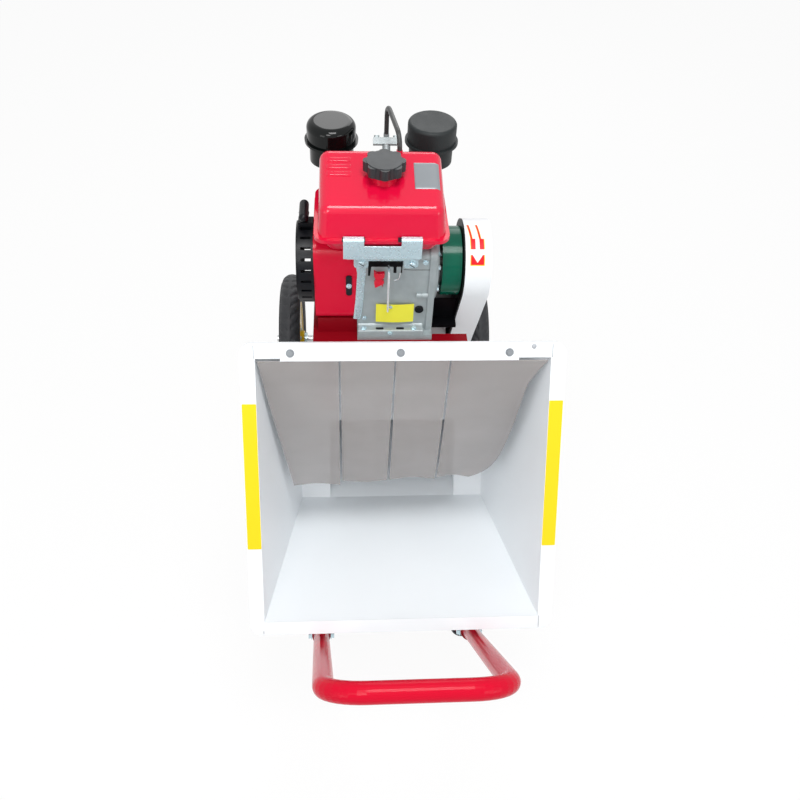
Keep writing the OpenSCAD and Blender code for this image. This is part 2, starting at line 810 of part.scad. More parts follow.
// Bolts round the crankcase cover, and two slotted ones through the tank bracket
module cover_bolts() {
    color("silver") for (x = bracket_bolt_x) translate([x, crank_y - case_front - 3, crank_z + 80]) rotate([90, 0, 0])
        difference() {
            union() {
                cylinder(r = 8, h = 1.5);
                translate([0, 0, 1.5]) cylinder(r = 5.5, h = 3.5);
            }
            translate([-8, -0.8, 3.5]) cube([16, 1.6, 3]);
        }
    color("silver") for (a = [0:45:315]) translate([cover_right - 5, crank_y, crank_z]) rotate([a + 20, 0, 0])
        translate([0, case_front - 14, 0]) rotate([0, 90, 0]) cylinder(r = 5.5, h = 5, $fn = 6);
}

fin_low = 92;
fin_high = 148;
head_high = 196;
rocker_high = 214;
fin_x = [engine_x - 50, engine_x + 50];

module cylinder_barrel() {
    pitch = (fin_high - fin_low) / fins;
    block([fin_x[0] + 16, -26, fin_low], [fin_x[1] - 16, 40, fin_high]);
    for (i = [0:fins - 1]) translate([0, 0, fin_low + i * pitch + pitch - 2.5])
        block([fin_x[0], -34, 0], [fin_x[1], 52, 2.5]);
}

module engine_cylinder() {
    color("lightgray") in_cylinder() cylinder_barrel();
}

module cylinder_head() {
    color("lightgray") {
        in_cylinder() {
            block([fin_x[0] + 6, -30, fin_high], [fin_x[1] - 6, 46, head_high]);
            for (z = [fin_high + 6:10:head_high - 6]) block([fin_x[0], -34, z], [fin_x[1], 52, z + 3]);
        }
        bar_x(pipe_r + 2, fin_x[0] - port_out, fin_x[1] + port_out, can_y, port_z);
    }
}

module rocker_cover() {
    color("silver") in_cylinder() translate([0, 0, head_high]) linear_extrude(rocker_high - head_high)
        rounded_rect([fin_x[0] + 8, -30], [fin_x[1] - 8, 44], 12);
}

module crankshaft() {
    color("silver") bar_x(crank_d / 2, shroud_left + 8, shaft_end, crank_y, crank_z);
}

module clutch_drum() {
    color([0.02, 0.25, 0.16]) difference() {
        bar_x(drum_r, drum_left, drum_left + drum_w, crank_y, crank_z);
        bar_x(crank_d / 2 + running_gap, drum_left - cut, drum_left + drum_w + cut, crank_y, crank_z);
    }
}

flywheel_x = [shroud_left + 14, shroud_right - 14];

module flywheel() {
    blades = 18;
    color("dimgray") difference() {
        union() {
            bar_x(flywheel_r - 10, flywheel_x[0] + 18, flywheel_x[1], crank_y, crank_z);
            bar_x(34, flywheel_x[0] + 8, flywheel_x[1], crank_y, crank_z);
            for (i = [0:blades - 1]) translate([0, crank_y, crank_z]) rotate([i * 360 / blades, 0, 0])
                block([flywheel_x[0], 44, -1.5], [flywheel_x[0] + 19, flywheel_r, 1.5]);
        }
        bar_x(crank_d / 2 + running_gap, flywheel_x[0] - cut, flywheel_x[1] + cut, crank_y, crank_z);
    }
}

// A rounded box whose front top corner is rounder than the rest
module shroud_outline(inset) {
    low = [-case_front + inset, -crank_up + plinth_h + inset];
    high = [110 - inset, shroud_top - inset];
    translate([crank_y, crank_z]) intersection() {
        rounded_rect(low, high, 20 - inset);
        rounded_rect(low - [0, 60], high + [60, 0], shroud_round - inset);
    }
}

module fan_shroud() {
    color("red") difference() {
        side_outline(shroud_left, shroud_right - shroud_left) shroud_outline(0);
        side_outline(shroud_left + shroud_t, shroud_right - shroud_left) shroud_outline(shroud_t);
        bar_x(recoil_r - 14, shroud_left - cut, shroud_left + shroud_t + cut, crank_y, crank_z);
    }
}

recoil_w = 38;
recoil_left = shroud_left - recoil_w;

module recoil_starter() {
    slots = 24;
    color([0.06, 0.06, 0.06]) difference() {
        union() {
            bar_x(recoil_r - 6, recoil_left, recoil_left + 8, crank_y, crank_z);
            bar_x(recoil_r, recoil_left + 4, shroud_left, crank_y, crank_z);
            block([recoil_left + 6, crank_y - 12, crank_z + recoil_r - 12],
                [shroud_left, crank_y + 12, crank_z + recoil_r + 14]);
        }
        bar_x(recoil_r - 8, recoil_left + 3, shroud_left + cut, crank_y, crank_z);
        for (i = [0:slots - 1]) translate([0, crank_y, crank_z]) rotate([i * 360 / slots + 7.5, 0, 0]) {
            block([recoil_left + 10, recoil_r - 12, -3], [shroud_left - 6, recoil_r + 5, 3]);
            block([recoil_left - 4, 34, -3], [recoil_left + 12, recoil_r - 18, 3]);
        }
        translate([recoil_left + 19, crank_y, crank_z + recoil_r - 20]) cylinder(r = 3.5, h = 60);
    }
}

grip_z = crank_z + recoil_r + 14 + seat;

module starter_grip() {
    color([0.05, 0.05, 0.05]) translate([recoil_left + 19, crank_y, grip_z]) {
        translate([0, 0, -44]) cylinder(r = 2.5, h = 50);
        cylinder(r1 = 8, r2 = 11, h = 18);
        translate([0, 0, 22]) bar_y(10, -24, 24);
        for (y = [-24, 24]) translate([0, y, 22]) sphere(10);
    }
}

// Fuel tank

tank_x = engine_x - 6.5;
seam_z = crank_z + 138;
seam_t = 8;
lid_front_z = seam_z + 67;
lid_back_z = seam_z + 102;
tank_low_z = seam_z - 34;
neck_r = 27;
neck_back = 104;
form_r = 20;
lid_from = 40;
lid_to = tank_depth - 28;
neck_up = 21;
neck_z = lid_front_z + (lid_back_z - lid_front_z) * (neck_back - lid_from) / (lid_to - lid_from) + neck_up;
return_at = [12, tank_y + tank_depth - 26, lid_back_z + 5];
cap_at = [tank_x + 5, tank_y + neck_back];

// The tank's inside or outside form, shrunk by inset
module tank_form(inset) {
    r = form_r;
    half = tank_w / 2 - 8 - inset;
    top_half = tank_w / 2 - 12 - inset;
    y0 = tank_y + 8 + inset;
    y1 = tank_y + tank_depth - 8 - inset;
    hull() {
        for (x = [-1, 1]) {
            translate([tank_x + x * (top_half - r), tank_y + lid_from + inset, lid_front_z - r - inset])
                sphere(r, $fn = 32);
            translate([tank_x + x * (top_half - r), tank_y + lid_to - inset, lid_back_z - r - inset])
                sphere(r, $fn = 32);
            for (y = [y0 + r, y1 - r]) translate([tank_x + x * (half - r), y, seam_z]) cylinder(r = r, h = 1, $fn = 32);
        }
    }
    hull() {
        for (x = [-1, 1]) {
            for (y = [y0 + r, y1 - r]) translate([tank_x + x * (half - r), y, seam_z]) cylinder(r = r, h = 1, $fn = 32);
            for (y = [y0 + 16 + r, y1 - 64 - r]) translate([tank_x + x * (half - 18 - r), y, tank_low_z + inset])
                cylinder(r = r, h = 1, $fn = 32);
        }
    }
}

module fuel_tank() {
    half = tank_w / 2;
    color("red") difference() {
        union() {
            tank_form(0);
            translate([tank_x, 0, seam_z - seam_t / 2]) linear_extrude(seam_t)
                rounded_rect([-half, tank_y], [half, tank_y + tank_depth], 26);
            translate([cap_at[0], cap_at[1], neck_z - 34]) cylinder(r = neck_r, h = 34);
            translate([return_at[0], return_at[1], return_at[2] - 8]) cylinder(r = 6.5, h = 8);
        }
        tank_form(tank_wall);
        translate([cap_at[0], cap_at[1], neck_z - 46]) cylinder(r = neck_r - 3, h = 66);
    }
}

// Eight-lobed knob over the tank's neck
module fuel_cap() {
    lobes = 8;
    skirt = 8;
    color([0.1, 0.1, 0.1]) translate([cap_at[0], cap_at[1], neck_z - skirt + seat]) difference() {
        union() {
            cylinder(r = cap_r - 7, h = cap_h);
            for (i = [0:lobes - 1]) rotate([0, 0, i * 360 / lobes]) translate([cap_r - 11, 0, 3])
                cylinder(r = 11, h = cap_h - 4);
        }
        translate([0, 0, -cut]) cylinder(r = neck_r + running_gap, h = skirt + cut);
    }
}

bracket_x = [-105, 49];
strap_x = -75;
bracket_bolt_x = [strap_x + 8, 45];
strap_w = 20;
hook_w = 42;
bracket_front = tank_y - 4;

module tank_bracket() {
    t = 3;
    low = tank_low_z - 4;
    high = seam_z + seam_t / 2 + 1;
    face = crank_y - case_front;
    color("silver") {
        block([bracket_x[0], bracket_front - t, low], [bracket_x[1], bracket_front, seam_z - 3]);
        for (x = [bracket_x[0], bracket_x[1] - hook_w]) {
            block([x, bracket_front - t, low], [x + hook_w, bracket_front, high + 2 * t]);
            block([x, bracket_front - t, high + t], [x + hook_w, bracket_front + 10, high + 2 * t]);
        }
        block([bracket_x[0], bracket_front - t, low - t], [bracket_x[1], face, low]);
        block([strap_x, face - t, crank_z + 52], [bracket_bolt_x[1] + 9, face, low]);
        block([strap_x, face - t, deck_z + 46], [strap_x + strap_w, face, low]);
    }
}

module tank_pads() {
    color([0.07, 0.07, 0.07]) {
        for (x = [bracket_x[0], bracket_x[1] - hook_w])
            block([x - 2, tank_y - 4, seam_z + seam_t / 2], [x + hook_w + 2, tank_y + 7, seam_z + seam_t / 2 + 4]);
        for (y = [crank_y - 32, crank_y - 11])
            translate([-120, y, crank_z + shroud_top]) cylinder(r = 10, h = tank_low_z - crank_z - shroud_top);
    }
}

// Canisters

can_z = crank_z + 160;
can_wall = 1.5;
can_left = -129;
can_right = 88;
pipe_r = 13;
port_z = can_z - 60;
port_bend = 26;
port_out = 2;

// Can with a rounded top edge, a rolled seam and a narrower lower body, with its foot at z = 0
module can(edge) {
    low_r = can_r - 5;
    seam_r = can_r + 5;
    mid = can_h * 0.48;
    module body(inset) {
        translate([0, inset]) square([low_r - inset, mid]);
        translate([0, mid - 4 + inset]) square([can_r - inset, can_h - mid + 4 - edge - 2 * inset]);
        translate([0, mid]) square([can_r - edge, can_h - mid - inset]);
        translate([can_r - edge, can_h - edge]) circle(edge - inset);
    }
    rotate_extrude() intersection() {
        union() {
            difference() {
                body(0);
                body(can_wall);
                square([pipe_r - can_wall, 10]);
            }
            translate([low_r, mid]) square([seam_r - low_r, 5]);
        }
        square([200, 200]);
    }
}

module air_cleaner() {
    color([0.04, 0.04, 0.04]) translate([can_left, can_y, can_z]) can(16);
}

module muffler() {
    color([0.16, 0.17, 0.18]) translate([can_right, can_y, can_z]) can(7);
}

// Pipe from under a can, turned inward to the cylinder head's side
module elbow(x, side) {
    head_side = side < 0 ? fin_x[0] - port_out : fin_x[1] + port_out;
    run = abs(x - head_side) - port_bend;
    translate([x, can_y, port_z]) mirror([side > 0 ? 1 : 0, 0, 0]) {
        translate([0, 0, port_bend]) cylinder(r = pipe_r, h = can_z - port_z - port_bend);
        translate([port_bend, 0, port_bend]) rotate([90, 0, 0]) rotate([0, 0, 180])
            rotate_extrude(angle = 90) translate([port_bend, 0]) circle(pipe_r);
        translate([port_bend, 0, 0]) rotate([0, 90, 0]) cylinder(r = pipe_r, h = run);
    }
}

module intake_elbow() {
    color("dimgray") elbow(can_left, -1);
}

module exhaust_elbow() {
    color("dimgray") elbow(can_right, 1);
}

// Injector and its hose

injector_x = engine_x + 11;
injector_off = 6;
injector_h = 38;
clamp_block_h = 14;
hose_r = 5.2;
hose_bend = 28;
nipple_h = 12;
hose_foot_s = rocker_high + injector_h + clamp_block_h;
hose_from = [
    injector_x,
    crank_y + hose_foot_s * sin(cylinder_lean) + injector_off * cos(cylinder_lean),
    crank_z + hose_foot_s * cos(cylinder_lean) - injector_off * sin(cylinder_lean) + nipple_h
];
hose_apex = crank_z + 280;

module injector() {
    color("silver") {
        in_cylinder() translate([injector_x, injector_off, rocker_high]) {
            cylinder(r = 9, h = injector_h);
            translate([0, 0, injector_h]) block([-29, -10, 0], [29, 10, clamp_block_h]);
            for (x = [-21, 21]) translate([x, 0, injector_h + clamp_block_h]) cylinder(r = 6, h = 6, $fn = 6);
        }
        translate([hose_from[0], hose_from[1], hose_from[2] - nipple_h - 4])
            cylinder(r = hose_r + 1, h = nipple_h + 4);
    }
}

module fuel_hose() {
    span = [return_at[0] - hose_from[0], return_at[1] - hose_from[1]];
    reach = norm(span) - hose_bend;
    top = hose_apex - hose_bend - hose_r;
    path = concat([[norm(span), return_at[2] + seat, 0]],
        [for (a = [0:15:90]) [reach + hose_bend * cos(a), top + hose_bend * sin(a), a]],
        [for (a = [90:15:180]) [hose_bend + hose_bend * cos(a), top + hose_bend * sin(a), a]],
        [[0, hose_from[2] + seat, 180]]);
    color([0.2, 0.2, 0.2]) translate([hose_from[0], hose_from[1], 0])
        rotate([0, 0, atan2(span[1], span[0])]) rotate([90, 0, 0]) swept_tube(path, hose_r, 1.4, 16);
}

// Speed lever on the crankcase's front

module speed_lever() {
    face = crank_y - case_front - seat;
    color("crimson") difference() {
        union() {
            bar_y(9, face - 5, face, lever_x, lever_z);
            block([lever_x - 4, face - 5, lever_z], [lever_x + 4, face - 2, lever_z + 36]);
            translate([lever_x, face - 12, lever_z + 38]) sphere(8, $fn = 32);
        }
        bar_y(stud_r + running_gap, face - 6, face + cut, lever_x, lever_z);
    }
}

chassis_frame();
foot_pads();
axle();
axle_collars();
tyre(-1);  // tyre_left
tyre(1);  // tyre_right
rim(-1);  // rim_left
rim(1);  // rim_right
tow_handle();
frame_bolts();
hopper_funnel();
mouth_frame();
throat_duct();
curtain_bar();
curtain_screws();
curtain_strip(1);  // curtain_strip_1
curtain_strip(2);  // curtain_strip_2
curtain_strip(3);  // curtain_strip_3
curtain_strip(4);  // curtain_strip_4
chamber_cover();
chamber_screen();
side_plate(-1);  // side_plate_left
side_plate(1);  // side_plate_right
bearing(-1);  // bearing_left
bearing(1);  // bearing_right
bearing_bolts();
rotor_shaft();
rotor_drum();
rotor_knives();
bed_knife();
discharge_chute();
rotor_pulley();
engine_pulley();
drive_belts();
guard_back_plate();
belt_guard();
engine_deck();
crankcase();
crankcase_cover();
cover_bolts();
engine_cylinder();  // cylinder
cylinder_head();
rocker_cover();
crankshaft();
clutch_drum();
flywheel();
fan_shroud();
recoil_starter();
starter_grip();
fuel_tank();
fuel_cap();
tank_bracket();
tank_pads();
air_cleaner();
intake_elbow();
muffler();
exhaust_elbow();
injector();
fuel_hose();
speed_lever();
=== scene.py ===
"""Looks for the straw shredder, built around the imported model. Metres throughout."""

import json
import math

import bpy
import numpy as np
from mathutils import Matrix, Vector
from mathutils.bvhtree import BVHTree


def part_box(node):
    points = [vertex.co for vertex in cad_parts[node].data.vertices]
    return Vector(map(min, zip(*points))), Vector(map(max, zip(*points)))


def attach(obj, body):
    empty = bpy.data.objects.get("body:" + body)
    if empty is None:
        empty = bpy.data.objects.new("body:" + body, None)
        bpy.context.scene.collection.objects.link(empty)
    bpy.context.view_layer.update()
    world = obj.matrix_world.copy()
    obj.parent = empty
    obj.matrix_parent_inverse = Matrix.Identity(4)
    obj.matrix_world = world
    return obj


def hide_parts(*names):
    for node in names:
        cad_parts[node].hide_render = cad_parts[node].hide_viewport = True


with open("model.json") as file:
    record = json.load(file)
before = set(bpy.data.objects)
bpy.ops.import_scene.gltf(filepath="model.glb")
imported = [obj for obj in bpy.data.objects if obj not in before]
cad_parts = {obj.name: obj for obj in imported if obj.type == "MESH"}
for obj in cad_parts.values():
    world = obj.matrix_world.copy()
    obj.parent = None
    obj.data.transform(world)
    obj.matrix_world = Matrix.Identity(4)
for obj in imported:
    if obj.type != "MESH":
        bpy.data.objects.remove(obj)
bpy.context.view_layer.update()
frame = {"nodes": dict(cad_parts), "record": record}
nodes = frame["nodes"]


def middle(node):
    """The middle of a node's box."""
    low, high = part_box(node)
    return (Vector(low) + Vector(high)) / 2


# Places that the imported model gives, and the hopper's own measures
CRANK = middle("clutch_drum")
ROTOR = middle("rotor_shaft")
CASE_FRONT = CRANK.y - 0.088
MOUTH_Y = ROTOR.y - 0.590
MOUTH_TOP = 0.806
TILT = math.radians(33.5)
SHEET = 0.002

# Directions: the operator stands in front, at low y
FORWARD = (0, -1, 0)
BACKWARD = (0, 1, 0)
UPWARD = (0, 0, 1)
DOWNWARD = (0, 0, -1)
RIGHTWARD = (1, 0, 0)


def in_mouth(x, up, depth=0.0):
    """A point of the hopper's own frame: up the face from its top edge, and into the funnel."""
    return Vector((x,
                   MOUTH_Y + depth * math.cos(TILT) + up * math.sin(TILT),
                   MOUTH_TOP - depth * math.sin(TILT) + up * math.cos(TILT)))


# Materials

def new_material(name):
    m = bpy.data.materials.new(name)
    m.use_nodes = True
    nt = m.node_tree
    nt.nodes.clear()
    out = nt.nodes.new("ShaderNodeOutputMaterial")
    bsdf = nt.nodes.new("ShaderNodeBsdfPrincipled")
    nt.links.new(bsdf.outputs[0], out.inputs[0])
    return m, nt, bsdf


def coords(nt, scale=(1, 1, 1)):
    tex = nt.nodes.new("ShaderNodeTexCoord")
    mapping = nt.nodes.new("ShaderNodeMapping")
    mapping.inputs["Scale"].default_value = scale
    nt.links.new(tex.outputs["Object"], mapping.inputs[0])
    return mapping.outputs[0]


def noise(nt, vector, scale, detail):
    n = nt.nodes.new("ShaderNodeTexNoise")
    n.inputs["Scale"].default_value = scale
    n.inputs["Detail"].default_value = detail
    n.inputs["Roughness"].default_value = 0.55
    nt.links.new(vector, n.inputs["Vector"])
    return n.outputs["Fac"]


def ramp(nt, fac, stops):
    r = nt.nodes.new("ShaderNodeValToRGB")
    elements = r.color_ramp.elements
    while len(elements) < len(stops):
        elements.new(0.5)
    for element, (position, colour) in zip(elements, stops):
        element.position = position
        element.color = (*colour, 1.0)
    nt.links.new(fac, r.inputs[0])
    return r.outputs["Color"]


def scaled(nt, fac, low, high):
    m = nt.nodes.new("ShaderNodeMapRange")
    m.inputs["To Min"].default_value = low
    m.inputs["To Max"].default_value = high
    nt.links.new(fac, m.inputs["Value"])
    return m.outputs["Result"]


def bump(nt, bsdf, height, strength, distance=0.0006):
    b = nt.nodes.new("ShaderNodeBump")
    b.inputs["Strength"].default_value = strength
    b.inputs["Distance"].default_value = distance
    nt.links.new(height, b.inputs["Height"])
    nt.links.new(b.outputs["Normal"], bsdf.inputs["Normal"])


def shade(colour, share):
    return tuple(min(1.0, v * share) for v in colour)


def painted(name, colour, rough, coat, peel=0.12, drift=0.04, shine=0.5):
    """Sprayed or powder-coated metal: faint orange peel, slight drift of tone and gloss."""
    m, nt, b = new_material(name)
    v = coords(nt)
    tone = noise(nt, v, scale=5.0, detail=3.0)
    col = ramp(nt, tone, [(0.25, shade(colour, 1 - drift)), (0.75, shade(colour, 1 + drift))])
    nt.links.new(col, b.inputs["Base Color"])
    gloss = noise(nt, v, scale=22.0, detail=5.0)
    nt.links.new(scaled(nt, gloss, rough * 0.8, rough * 1.25), b.inputs["Roughness"])
    b.inputs["Specular IOR Level"].default_value = shine
    b.inputs["Coat Weight"].default_value = coat
    b.inputs["Coat Roughness"].default_value = 0.08
    bump(nt, b, noise(nt, v, scale=420.0, detail=2.0), peel)
    return m


def bare_metal(name, colour, rough, grain=None, spot=0.05, metallic=1.0, cast=False):
    """Zinc plate, ground steel or a cast surface. grain stretches its streaks."""
    m, nt, b = new_material(name)
    v = coords(nt)
    tone = noise(nt, v, scale=38.0 if cast else 14.0, detail=5.0)
    col = ramp(nt, tone, [(0.3, shade(colour, 1 - spot)), (0.7, shade(colour, 1 + spot))])
    nt.links.new(col, b.inputs["Base Color"])
    b.inputs["Metallic"].default_value = metallic
    if grain:
        streak = noise(nt, coords(nt, grain), scale=90.0, detail=3.0)
    else:
        streak = noise(nt, v, scale=60.0, detail=5.0)
    nt.links.new(scaled(nt, streak, rough * 0.75, rough * 1.3), b.inputs["Roughness"])
    skin = noise(nt, v, scale=900.0 if cast else 300.0, detail=3.0)
    bump(nt, b, skin, 0.35 if cast else 0.08)
    return m


def rubbery(name, colour, rough, pores=0.2, shine=0.35):
    """Rubber or moulded plastic, finely pored."""
    m, nt, b = new_material(name)
    v = coords(nt)
    tone = noise(nt, v, scale=30.0, detail=5.0)
    col = ramp(nt, tone, [(0.3, shade(colour, 0.8)), (0.75, shade(colour, 1.35))])
    nt.links.new(col, b.inputs["Base Color"])
    gloss = noise(nt, v, scale=80.0, detail=4.0)
    nt.links.new(scaled(nt, gloss, rough * 0.85, rough * 1.12), b.inputs["Roughness"])
    b.inputs["Specular IOR Level"].default_value = shine
    bump(nt, b, noise(nt, v, scale=700.0, detail=3.0), pores, 0.0005)
    return m


def clear_plastic(name):
    """Smoky soft plastic, a little cloudier in places, with a gentle swell left by rolling."""
    m, nt, b = new_material(name)
    v = coords(nt, (1, 1, 2.5))
    tone = noise(nt, v, scale=4.0, detail=3.0)
    col = ramp(nt, tone, [(0.3, (0.385, 0.362, 0.352)), (0.7, (0.43, 0.408, 0.398))])
    nt.links.new(col, b.inputs["Base Color"])
    gloss = noise(nt, v, scale=9.0, detail=3.0)
    nt.links.new(scaled(nt, gloss, 0.14, 0.24), b.inputs["Roughness"])
    cloud = noise(nt, v, scale=3.0, detail=2.0)
    nt.links.new(scaled(nt, cloud, 0.52, 0.64), b.inputs["Alpha"])
    swell = noise(nt, coords(nt, (0.6, 1, 5)), scale=5.0, detail=1.0)
    bump(nt, b, swell, 0.10, 0.002)
    return m


PAINTS = {
    "white_sheet": dict(colour=(0.84, 0.875, 0.90), rough=0.38, coat=0.15, peel=0.06,
                        drift=0.012, shine=0.3),
    "frame_red": dict(colour=(0.25, 0.002, 0.008), rough=0.34, coat=0.03, shine=0.15),
    "handle_red": dict(colour=(0.58, 0.003, 0.024), rough=0.2, coat=0.02, shine=0.1),
    "tank_red": dict(colour=(0.68, 0.004, 0.040), rough=0.14, coat=0.30, peel=0.05, shine=0.25),
    "shroud_red": dict(colour=(0.68, 0.004, 0.034), rough=0.22, coat=0.12, shine=0.2),
    "lever_red": dict(colour=(0.66, 0.006, 0.03), rough=0.25, coat=0.3, shine=0.3),
    "black_paint": dict(colour=(0.003, 0.003, 0.004), rough=0.4, coat=0.0, shine=0.1),
    "anthracite": dict(colour=(0.016, 0.020, 0.021), rough=0.5, coat=0.0, peel=0.35,
                       drift=0.2, shine=0.3),
    "green_drum": dict(colour=(0.001, 0.105, 0.062), rough=0.2, coat=0.15, shine=0.15),
    "yellow_rim": dict(colour=(0.80, 0.56, 0.004), rough=0.28, coat=0.2, shine=0.3),
    "dark_steel": dict(colour=(0.03, 0.03, 0.032), rough=0.4, coat=0.1, peel=0.2,
                       drift=0.1, shine=0.3),
    "tape_yellow": dict(colour=(0.86, 0.63, 0.012), rough=0.42, coat=0.0, peel=0.03,
                        drift=0.03, shine=0.2),
    "tag_yellow": dict(colour=(0.86, 0.82, 0.06), rough=0.36, coat=0.0, peel=0.03,
                       drift=0.03, shine=0.3),
    "arrow_red": dict(colour=(0.74, 0.012, 0.02), rough=0.34, coat=0.0, peel=0.03, shine=0.2),
    "arrow_white": dict(colour=(0.84, 0.86, 0.88), rough=0.34, coat=0.0, peel=0.03, shine=0.3),
    "seam_grey": dict(colour=(0.42, 0.44, 0.47), rough=0.5, coat=0.0),
    "air_cleaner_black": dict(colour=(0.002, 0.003, 0.003), rough=0.07, coat=0.12,
                              peel=0.05, shine=0.2),
}
RUBBERS = {
    "tyre_rubber": dict(colour=(0.016, 0.017, 0.020), rough=0.6, pores=0.25, shine=0.5),
    "black_rubber": dict(colour=(0.008, 0.009, 0.014), rough=0.55, shine=0.3),
    "belt_rubber": dict(colour=(0.010, 0.010, 0.011), rough=0.6),
    "hose_rubber": dict(colour=(0.045, 0.047, 0.047), rough=0.40),
    "black_plastic": dict(colour=(0.004, 0.005, 0.007), rough=0.36, pores=0.10, shine=0.22),
    "cap_plastic": dict(colour=(0.022, 0.026, 0.029), rough=0.42, pores=0.08, shine=0.4),
}
METALS = {
    "cast_alloy": dict(colour=(0.38, 0.43, 0.44), rough=0.46, spot=0.08, metallic=0.35,
                       cast=True),
    "zinc_steel": dict(colour=(0.58, 0.74, 0.80), rough=0.26, spot=0.06, metallic=0.6),
    "bright_rod": dict(colour=(0.86, 0.88, 0.90), rough=0.18, spot=0.04, metallic=0.8),
    "plate_alloy": dict(colour=(0.27, 0.29, 0.31), rough=0.36, grain=(1, 30, 1), metallic=0.5),
    "ground_steel": dict(colour=(0.55, 0.56, 0.57), rough=0.28, grain=(1, 12, 12)),
    "grey_iron": dict(colour=(0.16, 0.165, 0.17), rough=0.5, spot=0.15, metallic=0.7,
                      cast=True),
}
M = {name: painted(name, **traits) for name, traits in PAINTS.items()}
M.update({name: rubbery(name, **traits) for name, traits in RUBBERS.items()})
M.update({name: bare_metal(name, **traits) for name, traits in METALS.items()})
M["clear_strip"] = clear_plastic("clear_strip")

record_slots = {s["node"]: s["material_slot"] for s in frame["record"]["subparts"]}
OTHER_FINISH = {"injector": "cast_alloy", "curtain_screws": "plate_alloy"}
for name, obj in nodes.items():
    if not obj.material_slots:
        obj.data.materials.append(None)
    for slot in obj.material_slots:
        slot.material = M[OTHER_FINISH.get(name, record_slots[name])]


# Camera: the photo's place and turn, in metres and degrees

CAMERA_AT = (-0.09365, MOUTH_Y - 0.98872, 1.7431)
PHOTO_PITCH = 47.44
PHOTO_YAW = 5.28
PHOTO_ROLL = -3.39
LENS_MM = 36.0
SENSOR_MM = 36.0


def camera_turn():
    """Down by the pitch, to the right by the yaw, and the picture turned by the roll."""
    p, y, r = (math.radians(a) for a in (PHOTO_PITCH, PHOTO_YAW, PHOTO_ROLL))
    forward = Vector((math.sin(y) * math.cos(p), math.cos(y) * math.cos(p), -math.sin(p)))
    right = Vector((math.cos(y), -math.sin(y), 0))
    up = right.cross(forward)
    across = right * math.cos(r) - up * math.sin(r)
    upward = right * math.sin(r) + up * math.cos(r)
    return Matrix((across, upward, -forward)).transposed()


def add_camera():
    cam = bpy.data.cameras.new("camera")
    cam.lens = LENS_MM
    cam.sensor_width = SENSOR_MM
    cam.sensor_fit = "HORIZONTAL"
    obj = bpy.data.objects.new("camera", cam)
    bpy.context.scene.collection.objects.link(obj)
    obj.matrix_world = Matrix.Translation(CAMERA_AT) @ camera_turn().to_4x4()
    bpy.context.scene.camera = obj


add_camera()


# Lamps, world and floor

# Each lamp's name, place, aim, size and watts
LAMPS = (
    ("key", (-0.7, -1.9, 2.6), (0, 0, 0.5), 0.8, 19),
    ("top", (0.1, -0.6, 3.2), (0, -0.1, 0.5), 1.0, 42),
    ("right", (1.7, -1.9, 1.5), (0, 0, 0.5), 1.0, 11),
    ("left", (-1.9, -1.7, 1.3), (0, 0, 0.5), 1.0, 8),
    ("behind", (0.4, 2.6, 2.0), (0, 0.2, 0.6), 1.4, 14),
)
WORLD_FILL = 0.46
FLOOR_HALF = 6.0
FLOOR_LEVEL = -0.0005
FLOOR_WHITE = 0.92
SEEN_BY = ("Is Camera Ray", "Is Transmission Ray", "Is Glossy Ray")


def area_lamp(name, at, to, size, power):
    light = bpy.data.lights.new(name, "AREA")
    light.energy = power
    light.size = size
    obj = bpy.data.objects.new(name, light)
    bpy.context.scene.collection.objects.link(obj)
    obj.location = at
    obj.rotation_euler = (Vector(to) - Vector(at)).to_track_quat("-Z", "Y").to_euler()


def seen_rays(tree):
    """One socket that is 1 for the rays that see the surroundings, and 0 for those that light."""
    rays = tree.nodes.new("ShaderNodeLightPath")
    total = rays.outputs[SEEN_BY[0]]
    for name in SEEN_BY[1:]:
        add = tree.nodes.new("ShaderNodeMath")
        add.operation = "ADD"
        add.use_clamp = True
        tree.links.new(total, add.inputs[0])
        tree.links.new(rays.outputs[name], add.inputs[1])
        total = add.outputs[0]
    return total


def mix_shaders(tree, share, lit, seen, out):
    """Joins two shaders to the output: lit where share is 0, and seen where it is 1."""
    mix = tree.nodes.new("ShaderNodeMixShader")
    tree.links.new(share, mix.inputs[0])
    tree.links.new(lit.outputs[0], mix.inputs[1])
    tree.links.new(seen.outputs[0], mix.inputs[2])
    tree.links.new(mix.outputs[0], out.inputs[0])


def white_world():
    """White to the eye and in reflections, and an even fill light on the object."""
    world = bpy.data.worlds.new("world")
    bpy.context.scene.world = world
    world.use_nodes = True
    tree = world.node_tree
    tree.nodes.clear()
    out = tree.nodes.new("ShaderNodeOutputWorld")
    lit, seen = (tree.nodes.new("ShaderNodeBackground") for _ in range(2))
    lit.inputs["Strength"].default_value = WORLD_FILL
    seen.inputs["Strength"].default_value = 1.0
    for background in (lit, seen):
        background.inputs["Color"].default_value = (1, 1, 1, 1)
    mix_shaders(tree, seen_rays(tree), lit, seen, out)


def floor_material():
    """A pale matt white, which glows to the eye so that only a faint shadow is left on it."""
    m = bpy.data.materials.new("floor_white")
    m.use_nodes = True
    tree = m.node_tree
    tree.nodes.clear()
    out = tree.nodes.new("ShaderNodeOutputMaterial")
    diffuse = tree.nodes.new("ShaderNodeBsdfDiffuse")
    diffuse.inputs["Color"].default_value = (0.9, 0.9, 0.9, 1)
    glow = tree.nodes.new("ShaderNodeEmission")
    glow.inputs["Color"].default_value = (1, 1, 1, 1)
    glow.inputs["Strength"].default_value = 1.0
    share = tree.nodes.new("ShaderNodeMath")
    share.operation = "MULTIPLY"
    share.inputs[1].default_value = FLOOR_WHITE
    tree.links.new(seen_rays(tree), share.inputs[0])
    mix_shaders(tree, share.outputs[0], diffuse, glow, out)
    return m


